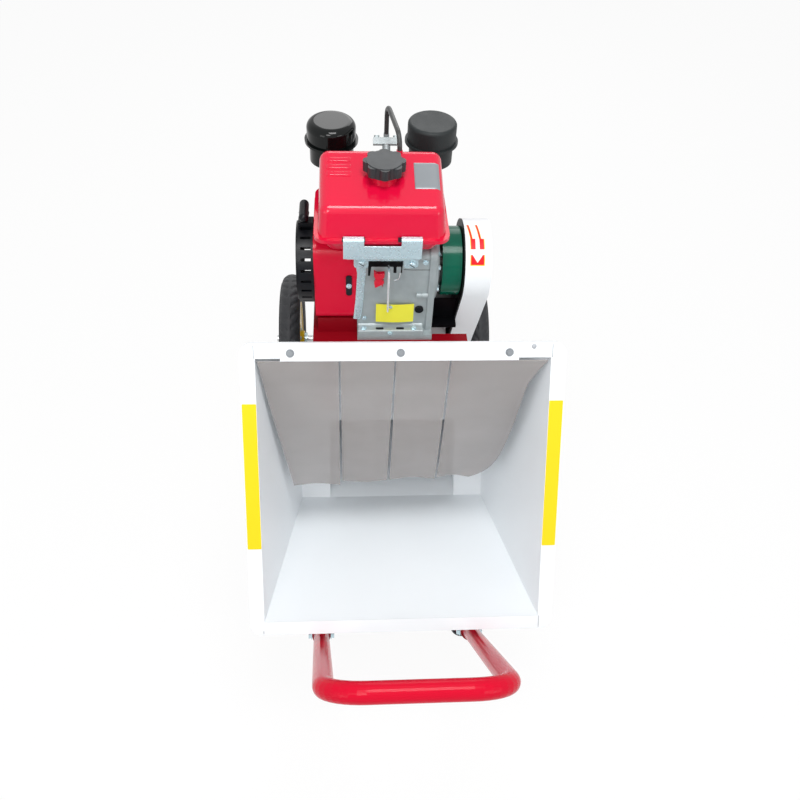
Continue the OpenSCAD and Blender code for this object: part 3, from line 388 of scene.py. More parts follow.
def white_floor():
    mesh = bpy.data.meshes.new("floor")
    signs = ((-1, -1), (1, -1), (1, 1), (-1, 1))
    corners = [(a * FLOOR_HALF, b * FLOOR_HALF, FLOOR_LEVEL) for a, b in signs]
    mesh.from_pydata(corners, [], [(0, 1, 2, 3)])
    obj = bpy.data.objects.new("floor", mesh)
    bpy.context.scene.collection.objects.link(obj)
    mesh.materials.append(floor_material())


for lamp in LAMPS:
    area_lamp(*lamp)
white_world()
white_floor()
bpy.context.scene.view_settings.view_transform = "Standard"


# Making pieces

SHARP_EDGE = math.radians(32)


def add_piece(name, verts, faces, material, body="machine"):
    """A mesh as a piece of the scene, which rides on a body."""
    mesh = bpy.data.meshes.new(name)
    mesh.from_pydata([tuple(v) for v in verts], [], faces)
    mesh.update()
    obj = bpy.data.objects.new(name, mesh)
    bpy.context.scene.collection.objects.link(obj)
    mesh.materials.append(M[material])
    mesh.shade_smooth()
    mesh.set_sharp_from_angle(angle=SHARP_EDGE)
    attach(obj, body)
    return obj


def bevelled(obj, width, segments):
    mod = obj.modifiers.new("edge", "BEVEL")
    mod.width = width
    mod.segments = segments
    mod.limit_method = "ANGLE"
    mod.angle_limit = math.radians(38)
    mod.harden_normals = True


def merge(*parts):
    """Several (verts, faces) as one."""
    verts, faces = [], []
    for part_verts, part_faces in parts:
        start = len(verts)
        verts += list(part_verts)
        faces += [tuple(i + start for i in face) for face in part_faces]
    return verts, faces


def grid_faces(rows, cols, start=0, flip=False):
    """Quads between rows of points, each row cols long."""
    faces = []
    for r in range(rows - 1):
        for c in range(cols - 1):
            a = start + r * cols + c
            quad = (a, a + 1, a + cols + 1, a + cols)
            faces.append(quad[::-1] if flip else quad)
    return faces


def ring_faces(around, across):
    """Quads of a closed ring of sections, each across points round."""
    faces = []
    for i in range(around):
        here, after = i * across, (i + 1) % around * across
        for k in range(across):
            beside = (k + 1) % across
            faces.append((here + k, here + beside, after + beside, after + k))
    return faces


def slab(top, bottom):
    """A closed thin body between two grids of points of the same size."""
    rows, cols = len(top), len(top[0])
    verts = [p for row in top for p in row] + [p for row in bottom for p in row]
    half = rows * cols
    faces = grid_faces(rows, cols) + grid_faces(rows, cols, half, True)
    rim = [(0, c) for c in range(cols)]
    rim += [(r, cols - 1) for r in range(1, rows)]
    rim += [(rows - 1, c) for c in range(cols - 2, -1, -1)]
    rim += [(r, 0) for r in range(rows - 2, 0, -1)]
    ids = [r * cols + c for r, c in rim]
    for a, b in zip(ids, ids[1:] + ids[:1]):
        faces.append((b, a, a + half, b + half))
    return verts, faces


def two_grids(rows, cols, pair):
    """The two faces of a thin body. pair(s, t) gives a point of each, where s runs from 0 to 1
    across and t from 0 to 1 down."""
    front, back = [], []
    for r in range(rows + 1):
        points = [pair(c / cols, r / rows) for c in range(cols + 1)]
        front.append([p for p, _ in points])
        back.append([p for _, p in points])
    return front, back


def prism(front, back):
    """A closed body between two outlines with the same number of points."""
    n = len(front)
    faces = [tuple(range(n)), tuple(range(2 * n - 1, n - 1, -1))]
    faces += [(k, n + k, n + (k + 1) % n, (k + 1) % n) for k in range(n)]
    return front + back, faces


def panel(points, thick, front_y):
    """An outline of (x, z) points as an upright plate, from its front face backwards."""
    front = [Vector((x, front_y, z)) for x, z in points]
    back = [Vector((x, front_y + thick, z)) for x, z in points]
    return prism(front, back)


def strip_along(profile, x0, x1, thick):
    """A plate of even thickness that follows a profile of (y, z) points between two x values."""
    across = (x0, (x0 + x1) / 2, x1)
    top, bottom = [], []
    for i, point in enumerate(profile):
        before = Vector(profile[max(i - 1, 0)])
        after = Vector(profile[min(i + 1, len(profile) - 1)])
        ahead = (after - before).normalized()
        front = Vector(point) + Vector((-ahead.y, ahead.x)) * thick
        top.append([Vector((x, front.x, front.y)) for x in across])
        bottom.append([Vector((x, point[0], point[1])) for x in across])
    return slab(top, bottom)


def spokes(side, third, count):
    """Unit vectors at equal steps of a full turn, from side towards third."""
    angles = [2 * math.pi * k / count for k in range(count)]
    return [side * math.cos(a) + third * math.sin(a) for a in angles]


def axes_about(axis):
    """The axis and two more, all square to each other."""
    up = Vector(axis).normalized()
    side = up.orthogonal().normalized()
    return up, side, up.cross(side)


def tube(path, radius, sides):
    """A closed round bar along a path; radius is one number, or one for each point."""
    points = [Vector(p) for p in path]
    radii = radius if hasattr(radius, "__len__") else [radius] * len(points)
    verts, faces = [], []
    side = (points[1] - points[0]).normalized().orthogonal().normalized()
    for i, p in enumerate(points):
        before = points[max(i - 1, 0)]
        after = points[min(i + 1, len(points) - 1)]
        ahead = (after - before).normalized()
        side = (side - ahead * side.dot(ahead)).normalized()
        verts += [p + out * radii[i] for out in spokes(side, ahead.cross(side), sides)]
    for i in range(len(points) - 1):
        for k in range(sides):
            a = i * sides + k
            b = i * sides + (k + 1) % sides
            faces.append((a, b, b + sides, a + sides))
    faces.append(tuple(range(sides - 1, -1, -1)))
    faces.append(tuple(range((len(points) - 1) * sides, len(points) * sides)))
    return verts, faces


def turned(profile, centre, axis, sides):
    """A body turned from (radius, height) points about an axis through centre."""
    up, side, third = axes_about(axis)
    centre = Vector(centre)
    verts, faces, rings = [], [], []
    for radius, height in profile:
        if radius == 0:
            rings.append([len(verts)])
            verts.append(centre + up * height)
            continue
        rings.append(list(range(len(verts), len(verts) + sides)))
        verts += [centre + up * height + out * radius for out in spokes(side, third, sides)]
    for low, high in zip(rings, rings[1:]):
        for k in range(sides):
            a, b = low[k % len(low)], low[(k + 1) % len(low)]
            c, d = high[(k + 1) % len(high)], high[k % len(high)]
            faces.append(tuple(dict.fromkeys((a, b, c, d))))
    return verts, faces


def hoop(centre, axis, radius, thick):
    """A ring of oval section about an axis; thick is its half width."""
    flat = 0.55
    around, across = 72, 10
    up, side, third = axes_about(axis)
    verts = []
    for out in spokes(side, third, around):
        for k in range(across):
            t = 2 * math.pi * k / across
            verts.append(Vector(centre) + out * (radius + thick * math.cos(t))
                         + up * thick * flat * math.sin(t))
    return verts, ring_faces(around, across)


def hex_bolt(centre, axis, across):
    """A hexagonal head with a chamfered top, on a washer; across is the width over its flats."""
    head = across * 0.5774
    rim = head * 1.35
    thick = 0.0012
    shoulder = across * 0.5
    top = across * 0.56
    washer = turned([(0, 0), (rim, 0), (rim, thick), (0, thick)], centre, axis, 24)
    body = turned([(0, 0.001), (head, 0.001), (head, shoulder), (head * 0.84, top), (0, top)],
                  centre, axis, 6)
    return merge(washer, body)


def rounded_corner(here, one, two, radius, steps):
    """The points of a rounded corner at here, between the unit vectors one and two."""
    out = []
    for k in range(steps + 1):
        t = k / steps
        p = here + one * radius * (1 - t) ** 2 + two * radius * t ** 2
        out.append((p.x, p.y))
    return out


def rounded(points, radius, steps=5):
    """An open line of flat points with its inner corners rounded."""
    out = [points[0]]
    for before, here, after in zip(points, points[1:], points[2:]):
        here = Vector(here)
        one = (Vector(before) - here).normalized()
        two = (Vector(after) - here).normalized()
        out += rounded_corner(here, one, two, radius, steps)
    out.append(points[-1])
    return out


def closed_rounded(points, radius, steps=4):
    """A closed outline of flat points with each corner rounded."""
    out = []
    n = len(points)
    for k in range(n):
        here = Vector(points[k])
        one = Vector(points[k - 1]) - here
        two = Vector(points[(k + 1) % n]) - here
        room = min(radius, one.length * 0.45, two.length * 0.45)
        out += rounded_corner(here, one.normalized(), two.normalized(), room, steps)
    return out


def surface_of(*names):
    """A tree for finding what a ray meets first on these nodes."""
    verts, faces = [], []
    for name in names:
        start = len(verts)
        mesh = nodes[name].data
        verts += [v.co.copy() for v in mesh.vertices]
        faces += [tuple(i + start for i in p.vertices) for p in mesh.polygons]
    return BVHTree.FromPolygons(verts, faces)


def meet(tree, start, direction):
    """The point where the ray meets the surface, and the surface's outward normal there."""
    direction = Vector(direction).normalized()
    hit, normal, _, _ = tree.ray_cast(Vector(start), direction)
    if normal.dot(direction) > 0:
        normal = -normal
    return hit, normal


def rounded_profile(t, edge):
    """A quarter round from 0 up to 1 over the share edge of 0..1, and the same down at its end."""
    side = min(t, 1 - t) / edge
    if side >= 1:
        return 1.0
    return math.sqrt(1 - (1 - side) ** 2)


def draped(tree, corner_a, corner_b, direction, lift, cols, rows, edge):
    """A thin raised field on a surface. Its plan runs from corner_a to corner_b, and the rays
    along direction find the surface."""
    a, b = Vector(corner_a), Vector(corner_b)
    plan = [i for i in range(3) if abs(direction[i]) < 0.5]
    least, sink = 0.15, 0.0006

    def pair(s, t):
        start = a.copy()
        for i, share in zip(plan, (s, t)):
            start[i] = a[i] + (b[i] - a[i]) * share
        hit, normal = meet(tree, start, direction)
        shape = min(rounded_profile(s, edge), rounded_profile(t, edge))
        return hit + normal * lift * (least + (1 - least) * shape), hit - normal * sink

    return slab(*two_grids(rows, cols, pair))


# Curtain: four soft plastic strips that hang from the clamp bar

STRIP_T = 0.002
STRIP_ROWS = 60
STRIP_COLS = 22
RIPPLE = 0.0010
STRIP_LOW, STRIP_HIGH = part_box("curtain_strip_2")
HINGE_Y = STRIP_LOW[1] + STRIP_T / 2
STRIP_TOP = STRIP_HIGH[2]

# The strips' edges as knots of (height, x), from high to low
SLITS = (-0.111, -0.016, 0.079)
GAP = 0.0015
KNOT_HIGH = 0.785
KNOT_LOW = 0.405
LEFT_EDGE = [(0.785, -0.250), (0.689, -0.2395), (0.562, -0.2245), (0.412, -0.2070)]
RIGHT_EDGE = [(0.785, 0.249), (0.765, 0.238), (0.725, 0.222), (0.680, 0.2175), (0.619, 0.2135),
              (0.560, 0.2080), (0.514, 0.2020), (0.490, 0.1965), (0.470, 0.1890), (0.455, 0.1800),
              (0.444, 0.1700), (0.436, 0.1590), (0.430, 0.1480)]


def slit_edge(slit, side, drift=0.0):
    """An edge beside a slit: side is -1 to its left and 1 to its right, and drift is how far
    the edge's lower end has moved."""
    x = SLITS[slit] + side * GAP
    return [(KNOT_HIGH, x), (KNOT_LOW, x + drift)]


def between(knots, height):
    """The value at a height, between knots of (height, value) from high to low."""
    heights, values = zip(*knots[::-1])
    return float(np.interp(height, heights, values))


def strip_sheet(number, foot, left, right, curl, wave):
    """One strip, down to foot. curl is how far its foot bends inwards, and wave its swell."""
    length = STRIP_TOP - foot

    def pair(s, t):
        z = STRIP_TOP - length * t
        x0, x1 = between(left, z), between(right, z)
        x = x0 + (x1 - x0) * s
        loose = t * t
        y = HINGE_Y + curl * t ** 2.2
        y += loose * wave * math.cos(math.pi * (s - 0.5) * 1.6) - loose * wave * 0.5
        y += RIPPLE * math.sin(7.0 * t + 2.1 * number) * min(1.0, 3 * t)
        return Vector((x, y - STRIP_T / 2, z)), Vector((x, y + STRIP_T / 2, z))

    front, back = two_grids(STRIP_ROWS, STRIP_COLS, pair)
    piece = add_piece(f"pvc_strip_{number}", *slab(front, back), "clear_strip", f"strip_{number}")
    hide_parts(f"curtain_strip_{number}")


strip_sheet(1, 0.424, LEFT_EDGE, slit_edge(0, -1, -0.003), curl=0.010, wave=0.0025)
strip_sheet(2, 0.425, slit_edge(0, 1, -0.001), slit_edge(1, -1, -0.003), curl=0.015, wave=-0.002)
strip_sheet(3, 0.428, slit_edge(1, 1), slit_edge(2, -1), curl=0.019, wave=0.003)
strip_sheet(4, 0.430, slit_edge(2, 1, 0.002), RIGHT_EDGE, curl=0.022, wave=0.003)


# Hopper trim: tape and seams on the mouth's flange, and a rivet

# The x of both edges, and both ends measured up the face from its top edge
TAPES = {
    "marking_tape_left": (-0.279, -0.2545, -0.3735, -0.105),
    "marking_tape_right": (0.2545, 0.279, -0.377, -0.103),
}
TAPE_LIFT = 0.0004
TAPE_CORNER = 0.0015

# The x of each seam, and both ends measured up the face
SEAMS = ((-0.256, -0.026, -0.003), (0.256, -0.026, -0.003),
         (-0.256, -0.5425, -0.537), (0.256, -0.5425, -0.519))
SEAM_HALF = 0.0007
SEAM_LIFT = 0.00035
SEAM_CORNER = 0.0006

RIVET_X = 0.223
RIVET_UP = -0.0066


def on_flange(name, material, x0, x1, low, high, lift, corner):
    """A flat patch with rounded corners on the front face of the mouth's flange."""
    points = []
    for cx, cy, start in ((x1 - corner, high - corner, 0), (x0 + corner, high - corner, 90),
                          (x0 + corner, low + corner, 180), (x1 - corner, low + corner, 270)):
        for turn in range(0, 91, 15):
            a = math.radians(start + turn)
            points.append((cx + corner * math.cos(a), cy + corner * math.sin(a)))
    back = [in_mouth(x, up, -SHEET) for x, up in points]
    front = [in_mouth(x, up, -SHEET - lift) for x, up in points]
    add_piece(name, *prism(back, front), material)


def flange_rivet():
    out_of_mouth = (in_mouth(0, 0, -1) - in_mouth(0, 0, 0)).normalized()
    profile = [(0, 0), (0.0042, 0), (0.0042, 0.0006), (0.0036, 0.0016), (0.0022, 0.0024),
               (0, 0.0027)]
    rivet = turned(profile, in_mouth(RIVET_X, RIVET_UP, -SHEET), out_of_mouth, 24)
    add_piece("flange_rivet", *rivet, "seam_grey")


for name, tape in TAPES.items():
    on_flange(name, "tape_yellow", *tape, TAPE_LIFT, TAPE_CORNER)
for number, (seam_x, seam_low, seam_high) in enumerate(SEAMS, 1):
    on_flange(f"corner_seam_{number}", "seam_grey", seam_x - SEAM_HALF, seam_x + SEAM_HALF,
              seam_low, seam_high, SEAM_LIFT, SEAM_CORNER)
flange_rivet()


# Tank top: a bare data plate, and three plain ribs. Their y counts from the crank's.

ABOVE_TANK = 1.2
PLATE_X = (0.0395, 0.0905)
PLATE_Y = (-0.0495, 0.0165)
RIB_X = (-0.137, -0.088)
RIB_Y = (0.0225, 0.0045, -0.0135)
RIB_HALF = 0.0056


def tank_top():
    skin = surface_of("fuel_tank")
    low, high = ((x, CRANK.y + y, ABOVE_TANK) for x, y in zip(PLATE_X, PLATE_Y))
    plate = draped(skin, low, high, DOWNWARD, lift=0.0011, cols=26, rows=26, edge=0.05)
    add_piece("bare_data_plate", *plate, "plate_alloy")
    for number, rib_y in enumerate(RIB_Y, 1):
        low = (RIB_X[0], CRANK.y + rib_y - RIB_HALF, ABOVE_TANK)
        high = (RIB_X[1], CRANK.y + rib_y + RIB_HALF, ABOVE_TANK)
        rib = draped(skin, low, high, DOWNWARD, lift=0.0028, cols=30, rows=12, edge=0.40)
        add_piece(f"tank_rib_{number}", *rib, "tank_red")


tank_top()


# Engine front: tag, plug, governor rod, shroud slot, bolts, boss and foot

case_skin = surface_of("crankcase", "crankcase_cover", "fan_shroud", "engine_deck")
IN_FRONT = -1.0
JUST_INSIDE = CASE_FRONT + 0.002

TAG_X = (-0.035, 0.049)
TAG_FOOT = 0.538
TAG_TOP = 0.588
EYELET_X = -0.003
EYELET_Z = 0.582
PLUG = (0.061, 0.571)
ROD_X = -0.010
ROD_Y = CASE_FRONT - 0.0225
WIRE_Y = CASE_FRONT - 0.0035
BOSS_X = 0.0525
BOSS_Z = 0.611
SLOT_X = -0.094
SLOT_Z = 0.6385
SLOT_HALF = 0.0205
SLOT_R = 0.0065
# How far the black plate that paints the shroud slot's shade stands off the shroud
SLOT_SHADE_LIFT = 0.0026

# The x, z and width over the flats of each small bolt
CASE_BOLTS = ((0.0985, 0.611, 0.009), (0.0985, 0.685, 0.009), (0.068, 0.700, 0.008),
              (-0.060, 0.545, 0.007))


def front_at(x, z):
    """The engine's front surface behind (x, z)."""
    hit, _ = meet(case_skin, (x, IN_FRONT, z), BACKWARD)
    return hit


def yellow_tag():
    """A stiff card tag, a little off the case, that hangs from an eyelet near its top."""
    def pair(s, t):
        x = TAG_X[0] + (TAG_X[1] - TAG_X[0]) * s
        z = TAG_TOP - (TAG_TOP - TAG_FOOT) * t
        y = CASE_FRONT - (0.0022 + 0.0030 * math.sin(math.pi * s) + 0.002 * t)
        return Vector((x, y - 0.0006, z)), Vector((x, y, z))

    add_piece("blank_tag", *slab(*two_grids(14, 20, pair)), "tag_yellow")
    profile = [(0, 0), (0.0026, 0), (0.0026, 0.0058), (0.0042, 0.0062), (0.0042, 0.0070),
               (0.0022, 0.0076), (0, 0.0070)]
    eyelet = turned(profile, (EYELET_X, CASE_FRONT - 0.0001, EYELET_Z), FORWARD, 24)
    add_piece("tag_eyelet", *eyelet, "zinc_steel")


def case_plug():
    profile = [(0, -0.001), (0.0098, -0.001), (0.0098, 0.003), (0.0088, 0.0042),
               (0.0056, 0.0042), (0.0050, 0.0028), (0, 0.0028)]
    plug = turned(profile, front_at(*PLUG), FORWARD, 32)
    add_piece("case_plug", *plug, "black_plastic")


def governor():
    """The governor's rod, which stands off the case, its spring wire, and the tag's wire tie."""
    rod_path = [(JUST_INSIDE, 0.5815), (ROD_Y + 0.004, 0.5815), (ROD_Y + 0.001, 0.5830),
                (ROD_Y, 0.5870), (ROD_Y, 0.620), (ROD_Y, 0.655), (ROD_Y, 0.6850),
                (ROD_Y + 0.001, 0.6900), (ROD_Y + 0.004, 0.6915), (JUST_INSIDE, 0.6915)]
    rod = tube([(ROD_X, y, z) for y, z in rod_path], 0.0024, 14)
    add_piece("governor_rod", *rod, "bright_rod")
    wire_path = [(0.001, JUST_INSIDE, 0.655), (0.001, WIRE_Y + 0.0008, 0.655),
                 (0.003, WIRE_Y, 0.6552), (0.009, WIRE_Y, 0.656), (0.0125, WIRE_Y, 0.659),
                 (0.0140, WIRE_Y, 0.666), (0.0145, WIRE_Y + 0.0008, 0.6745),
                 (0.0145, JUST_INSIDE, 0.6755)]
    add_piece("governor_spring_wire", *tube(wire_path, 0.0012, 8), "bright_rod")
    tie_path = [(EYELET_X, CASE_FRONT - 0.0036, 0.5835), (-0.0045, CASE_FRONT - 0.0070, 0.5880),
                (-0.0080, ROD_Y + 0.0036, 0.5920), (ROD_X, ROD_Y + 0.0010, 0.5935)]
    add_piece("tag_tie", *tube(tie_path, 0.0006, 8), "bright_rod")


def shroud_slot():
    """A black plate that paints the shade in the fan shroud's slot, and the bolt in its middle."""
    face = front_at(SLOT_X, SLOT_Z).y
    outline = []
    for k in range(40):
        a = 2 * math.pi * k / 40
        end = SLOT_HALF if math.sin(a) > 0 else -SLOT_HALF
        outline.append((SLOT_X + SLOT_R * math.cos(a), SLOT_Z + end + SLOT_R * math.sin(a)))
    back = [Vector((x, face + 0.001, z)) for x, z in outline]
    front = [Vector((x, face - SLOT_SHADE_LIFT, z)) for x, z in outline]
    add_piece("shroud_slot_shade", *prism(back, front), "black_rubber")
    bolt = hex_bolt((SLOT_X, face - SLOT_SHADE_LIFT, SLOT_Z), FORWARD, 0.008)
    add_piece("shroud_bolt", *bolt, "zinc_steel")


def case_bolts():
    bolts = [hex_bolt(front_at(x, z), FORWARD, across) for x, z, across in CASE_BOLTS]
    add_piece("case_front_bolts", *merge(*bolts), "zinc_steel")


def cross_boss():
    """A cross boss cast half into the case, and the parting line above it."""
    profile = [(0, 0), (0.0058, 0), (0.0066, 0.0010), (0.0066, 0.0100), (0.0058, 0.0108),
               (0.0058, 0.0122), (0.0066, 0.0130), (0.0066, 0.0250), (0, 0.0250)]
    boss = turned(profile, (BOSS_X, CASE_FRONT - 0.0005, BOSS_Z), RIGHTWARD, 28)
    add_piece("case_cross_boss", *boss, "cast_alloy")
    line_path = [(0.022, CASE_FRONT, 0.681), (0.040, CASE_FRONT, 0.680),
                 (0.060, CASE_FRONT, 0.680), (0.078, CASE_FRONT, 0.680)]
    add_piece("case_parting_line", *tube(line_path, 0.0009, 8), "grey_iron")


FOOT_X = (-0.074, 0.071)
FOOT_LOW = 0.5122
FOOT_HIGH = 0.5255
FOOT_FRONT = CASE_FRONT - 0.0215
# Where the black inlays that paint the shade of the foot's two slots lie
FOOT_SLOTS = (-0.026, 0.020)
FOOT_SLOT_HALF = 0.009
FOOT_SLOT_Y = (CASE_FRONT - 0.0165, CASE_FRONT - 0.0105)
FOOT_BOLTS = (-0.062, 0.050)
FOOT_FRONT_BOLT = (-0.003, 0.5185)


def foot_slot_shade(x):
    """A black inlay that paints the shade of a slot in the foot's top."""
    x0, x1 = x - FOOT_SLOT_HALF, x + FOOT_SLOT_HALF
    y0, y1 = FOOT_SLOT_Y
    outline = closed_rounded([(x0, y0), (x1, y0), (x1, y1), (x0, y1)], 0.0029)
    top = [Vector((px, py, FOOT_HIGH + 0.0004)) for px, py in outline]
    bottom = [Vector((px, py, FOOT_HIGH - 0.0022)) for px, py in outline]
    return prism(top, bottom)


def case_foot():
    """The raised foot along the case's lower edge, with the painted shade of two slots and two
    bolts in its top, and a bolt in its front."""
    profile = rounded([(CASE_FRONT + 0.001, FOOT_HIGH + 0.004),
                       (CASE_FRONT - 0.004, FOOT_HIGH + 0.0005),
                       (FOOT_FRONT, FOOT_HIGH - 0.001), (FOOT_FRONT, FOOT_LOW)], 0.003, 4)
    across = (FOOT_X[0], FOOT_X[0] + 0.03, FOOT_X[1] - 0.03, FOOT_X[1])
    top = [[Vector((x, y, z)) for x in across] for y, z in profile]
    bottom = [[Vector((x, CASE_FRONT + 0.001, FOOT_LOW)) for x in across] for _ in profile]
    add_piece("case_foot_flange", *slab(top, bottom), "cast_alloy")
    slot_shades = [foot_slot_shade(x) for x in FOOT_SLOTS]
    add_piece("case_foot_slot_shade", *merge(*slot_shades), "black_rubber")
    bolt_y, bolt_z = CASE_FRONT - 0.013, FOOT_HIGH - 0.0006
    bolts = [hex_bolt((x, bolt_y, bolt_z), UPWARD, 0.009) for x in FOOT_BOLTS]
    front_x, front_z = FOOT_FRONT_BOLT
    bolts.append(hex_bolt((front_x, FOOT_FRONT, front_z), FORWARD, 0.008))
    add_piece("case_foot_bolts", *merge(*bolts), "zinc_steel")


def painted_recess_shade():
    """A black panel that paints the shade in the deep gap in the case's top, between the two lugs.
    """
    outline = closed_rounded([(-0.0535, 0.706), (-0.0535, 0.664), (-0.0490, 0.664),
                              (-0.0470, 0.6885), (0.0005, 0.6885), (0.0005, 0.672),
                              (0.0070, 0.672), (0.0070, 0.6885), (0.0165, 0.6885),
                              (0.0165, 0.672), (0.0190, 0.672), (0.0200, 0.706)], 0.0015, 2)
    shade_panel = panel(outline, 0.0008, CASE_FRONT - 0.0005)
    add_piece("case_recess_shade", *shade_panel, "black_paint")


yellow_tag()
case_plug()
governor()
shroud_slot()
case_bolts()
cross_boss()
case_foot()
painted_recess_shade()


# Tank bracket: folded zinc plate with two hooks, two lugs and a curved stay

BRACKET_LOW, BRACKET_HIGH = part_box("tank_bracket")
BRACKET_FRONT = BRACKET_LOW[1]
PLATE_T = 0.003
HOOK_W = 0.042
HOOK_REACH = 0.0128
SHELF = 0.738
APRON_TOP = 0.771
LUG_X = (-0.0835, 0.0210)
LUG_W = 0.0310
LUG_FOOT = 0.6870
LUG_FACE = CASE_FRONT - PLATE_T - 0.0010

# The stay's knots: height, left edge and right edge, from high to low
STAY = ((0.706, -0.0795, -0.0570), (0.690, -0.0790, -0.0580), (0.672, -0.0765, -0.0575),
        (0.650, -0.0775, -0.0600), (0.600, -0.0800, -0.0625), (0.565, -0.0830, -0.0655),
        (0.545, -0.0850, -0.0690))


def folded_plate():
    """The bracket's plate: hooks over the tank's seam, an apron, a shelf and lugs."""
    x0, x1 = BRACKET_LOW[0], BRACKET_HIGH[0]
    inner = BRACKET_FRONT + PLATE_T
    hook_top = BRACKET_HIGH[2] - PLATE_T
    parts = []
    hook = rounded([(inner, SHELF + 0.002), (inner, hook_top),
                    (BRACKET_FRONT + HOOK_REACH, hook_top)], 0.004)
    for left in (x0, x1 - HOOK_W):
        parts.append(strip_along(hook, left, left + HOOK_W, PLATE_T))
    apron = closed_rounded([(x0 + 0.002, SHELF + 0.001), (x1 - 0.012, SHELF + 0.001),
                            (x1 - 0.002, SHELF + 0.016), (x1 - 0.002, APRON_TOP),
                            (x0 + 0.002, APRON_TOP)], 0.006)
    parts.append(panel(apron, PLATE_T * 0.9, BRACKET_FRONT + 0.0001))
    on_case = CASE_FRONT - 0.0001
    fold = rounded([(on_case, 0.7052), (on_case, SHELF), (inner, SHELF), (inner, SHELF + 0.010)],
                   0.005)
    parts.append(strip_along(fold, -0.080, x1 - 0.004, PLATE_T))
    for left in LUG_X:
        right = left + LUG_W
        lug = closed_rounded([(left, SHELF), (left, LUG_FOOT), (right, LUG_FOOT),
                              (right, SHELF)], 0.009)
        parts.append(panel(lug, PLATE_T + 0.0006, LUG_FACE))
    return merge(*parts)


def curved_stay():
    """The stay under the left lug: a formed strip that narrows and leans out towards its foot."""
    high, foot = STAY[0][0], STAY[-1][0]
    left_edge = [(z, left) for z, left, _ in STAY]
    right_edge = [(z, right) for z, _, right in STAY]

    def pair(s, t):
        z = high - (high - foot) * t
        x0, x1 = between(left_edge, z), between(right_edge, z)
        x = x0 + (x1 - x0) * s
        crown = 0.0016 * (1 - (2 * s - 1) ** 2)
        return (Vector((x, CASE_FRONT - PLATE_T - crown, z)),
                Vector((x, CASE_FRONT - 0.0001, z)))

    return slab(*two_grids(40, 10, pair))


def tank_bracket():
    verts, faces = merge(folded_plate(), curved_stay())
    piece = add_piece("folded_tank_bracket", verts, faces, "zinc_steel")
    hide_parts("tank_bracket")
    bevelled(piece, 0.0008, 2)


# The x and z of the screw in each lug
LUG_SCREWS = ((LUG_X[0] + LUG_W / 2 + 0.0005, 0.7005), (LUG_X[1] + LUG_W / 2 + 0.002, 0.6975))
SLOT_LEAN = math.radians(-35)


def lug_screws():
    """A round-headed slotted screw in each lug; each slot's shade is painted as a dark bar across
    the head.
    """
    profile = [(0, 0), (0.0098, 0), (0.0098, 0.0009), (0.0072, 0.0010), (0.0070, 0.0030),
               (0.0056, 0.0046), (0.0030, 0.0055), (0, 0.0058)]
    reach = Vector((math.cos(SLOT_LEAN), 0, math.sin(SLOT_LEAN))) * 0.0062
    heads, slot_shades = [], []
    for x, z in LUG_SCREWS:
        heads.append(turned(profile, (x, LUG_FACE, z), FORWARD, 28))
        centre = Vector((x, LUG_FACE - 0.0052, z))
        slot_shades.append(tube([centre - reach, centre, centre + reach], 0.0011, 8))
    add_piece("lug_screws", *merge(*heads), "zinc_steel")
    add_piece("lug_screw_slot_shade", *merge(*slot_shades), "dark_steel")


tank_bracket()
lug_screws()


# Speed lever: boss, arm and a waisted red knob

LEVER_LOW, LEVER_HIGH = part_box("speed_lever")
LEVER_X = (LEVER_LOW[0] + LEVER_HIGH[0]) / 2
LEVER_FACE = LEVER_HIGH[1]
PIVOT_Z = LEVER_LOW[2] + 0.009
KNOB_TOP = PIVOT_Z + 0.046

# The knob's outline: x from the lever's middle, and the drop from the knob's top
KNOB = ((-0.0115, 0), (-0.0040, 0.006), (0.0115, 0.004), (0.0105, 0.0155), (0.0035, 0.0205),
        (0.0105, 0.0250), (0.0100, 0.0320), (-0.0085, 0.0430), (-0.0108, 0.0300),
        (-0.0070, 0.0210), (-0.0112, 0.0120))


def speed_knob():
    boss = turned([(0.0042, 0), (0.009, 0), (0.009, 0.0042), (0.0082, 0.005), (0.0042, 0.005),
                   (0.0042, 0)], (LEVER_X, LEVER_FACE, PIVOT_Z), FORWARD, 32)
    left, right = LEVER_X - 0.004, LEVER_X + 0.004
    low, high = PIVOT_Z + 0.0075, PIVOT_Z + 0.036
    arm_outline = closed_rounded([(left, low), (right, low), (right, high), (left, high)], 0.002)
    arm = panel(arm_outline, 0.003, LEVER_FACE - 0.005)
    neck = turned([(0, 0), (0.0032, 0), (0.0032, 0.006), (0, 0.006)],
                  (LEVER_X, LEVER_FACE - 0.0045, PIVOT_Z + 0.026), FORWARD, 20)
    outline = closed_rounded([(LEVER_X + x, KNOB_TOP - drop) for x, drop in KNOB], 0.0022)
    knob = panel(outline, 0.0095, LEVER_FACE - 0.0178)
    verts, faces = merge(boss, arm, neck, knob)
    piece = add_piece("speed_lever_knob", verts, faces, "lever_red", "lever")
    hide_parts("speed_lever")
    bevelled(piece, 0.0012, 3)


speed_knob()


# Belt guard: a plain turning arrow on its rim

guard_skin = surface_of("belt_guard")
OUTSIDE_RIM = 0.3

# Places along the rim, in degrees about the crank: 90 is the top and 180 the front
TAIL = (88.0, 113.0)
STEM = (113.0, 128.0)
HEAD = (128.0, 135.5)
TIP = (135.5, 145.5)
FOOT = (135.5, 148.5)
FOOT_BORDER = (135.5, 148.5 + 1.2)

# Places across the rim
FIELD = (0.1665, 0.1945)
SHAFT = (0.1762, 0.1850)
BORDER = 0.0016
OVERLAP = 0.001
TAIL_LEAN = -0.0055
TAIL_WIDTH = 0.0035

# Heights above the rim
BORDER_LIFT = 0.00025
FIELD_LIFT = 0.00045
TIP_LIFT = 0.00065
RIM_SINK = -0.0003


def on_rim(x, degrees, lift):
    """A point on the guard's rim, at an angle about the crank."""
    a = math.radians(degrees)
    out = Vector((0, math.cos(a), math.sin(a)))
    start = Vector((x, CRANK.y, CRANK.z)) + out * OUTSIDE_RIM
    hit, _ = meet(guard_skin, start, -out)
    return hit + out * lift


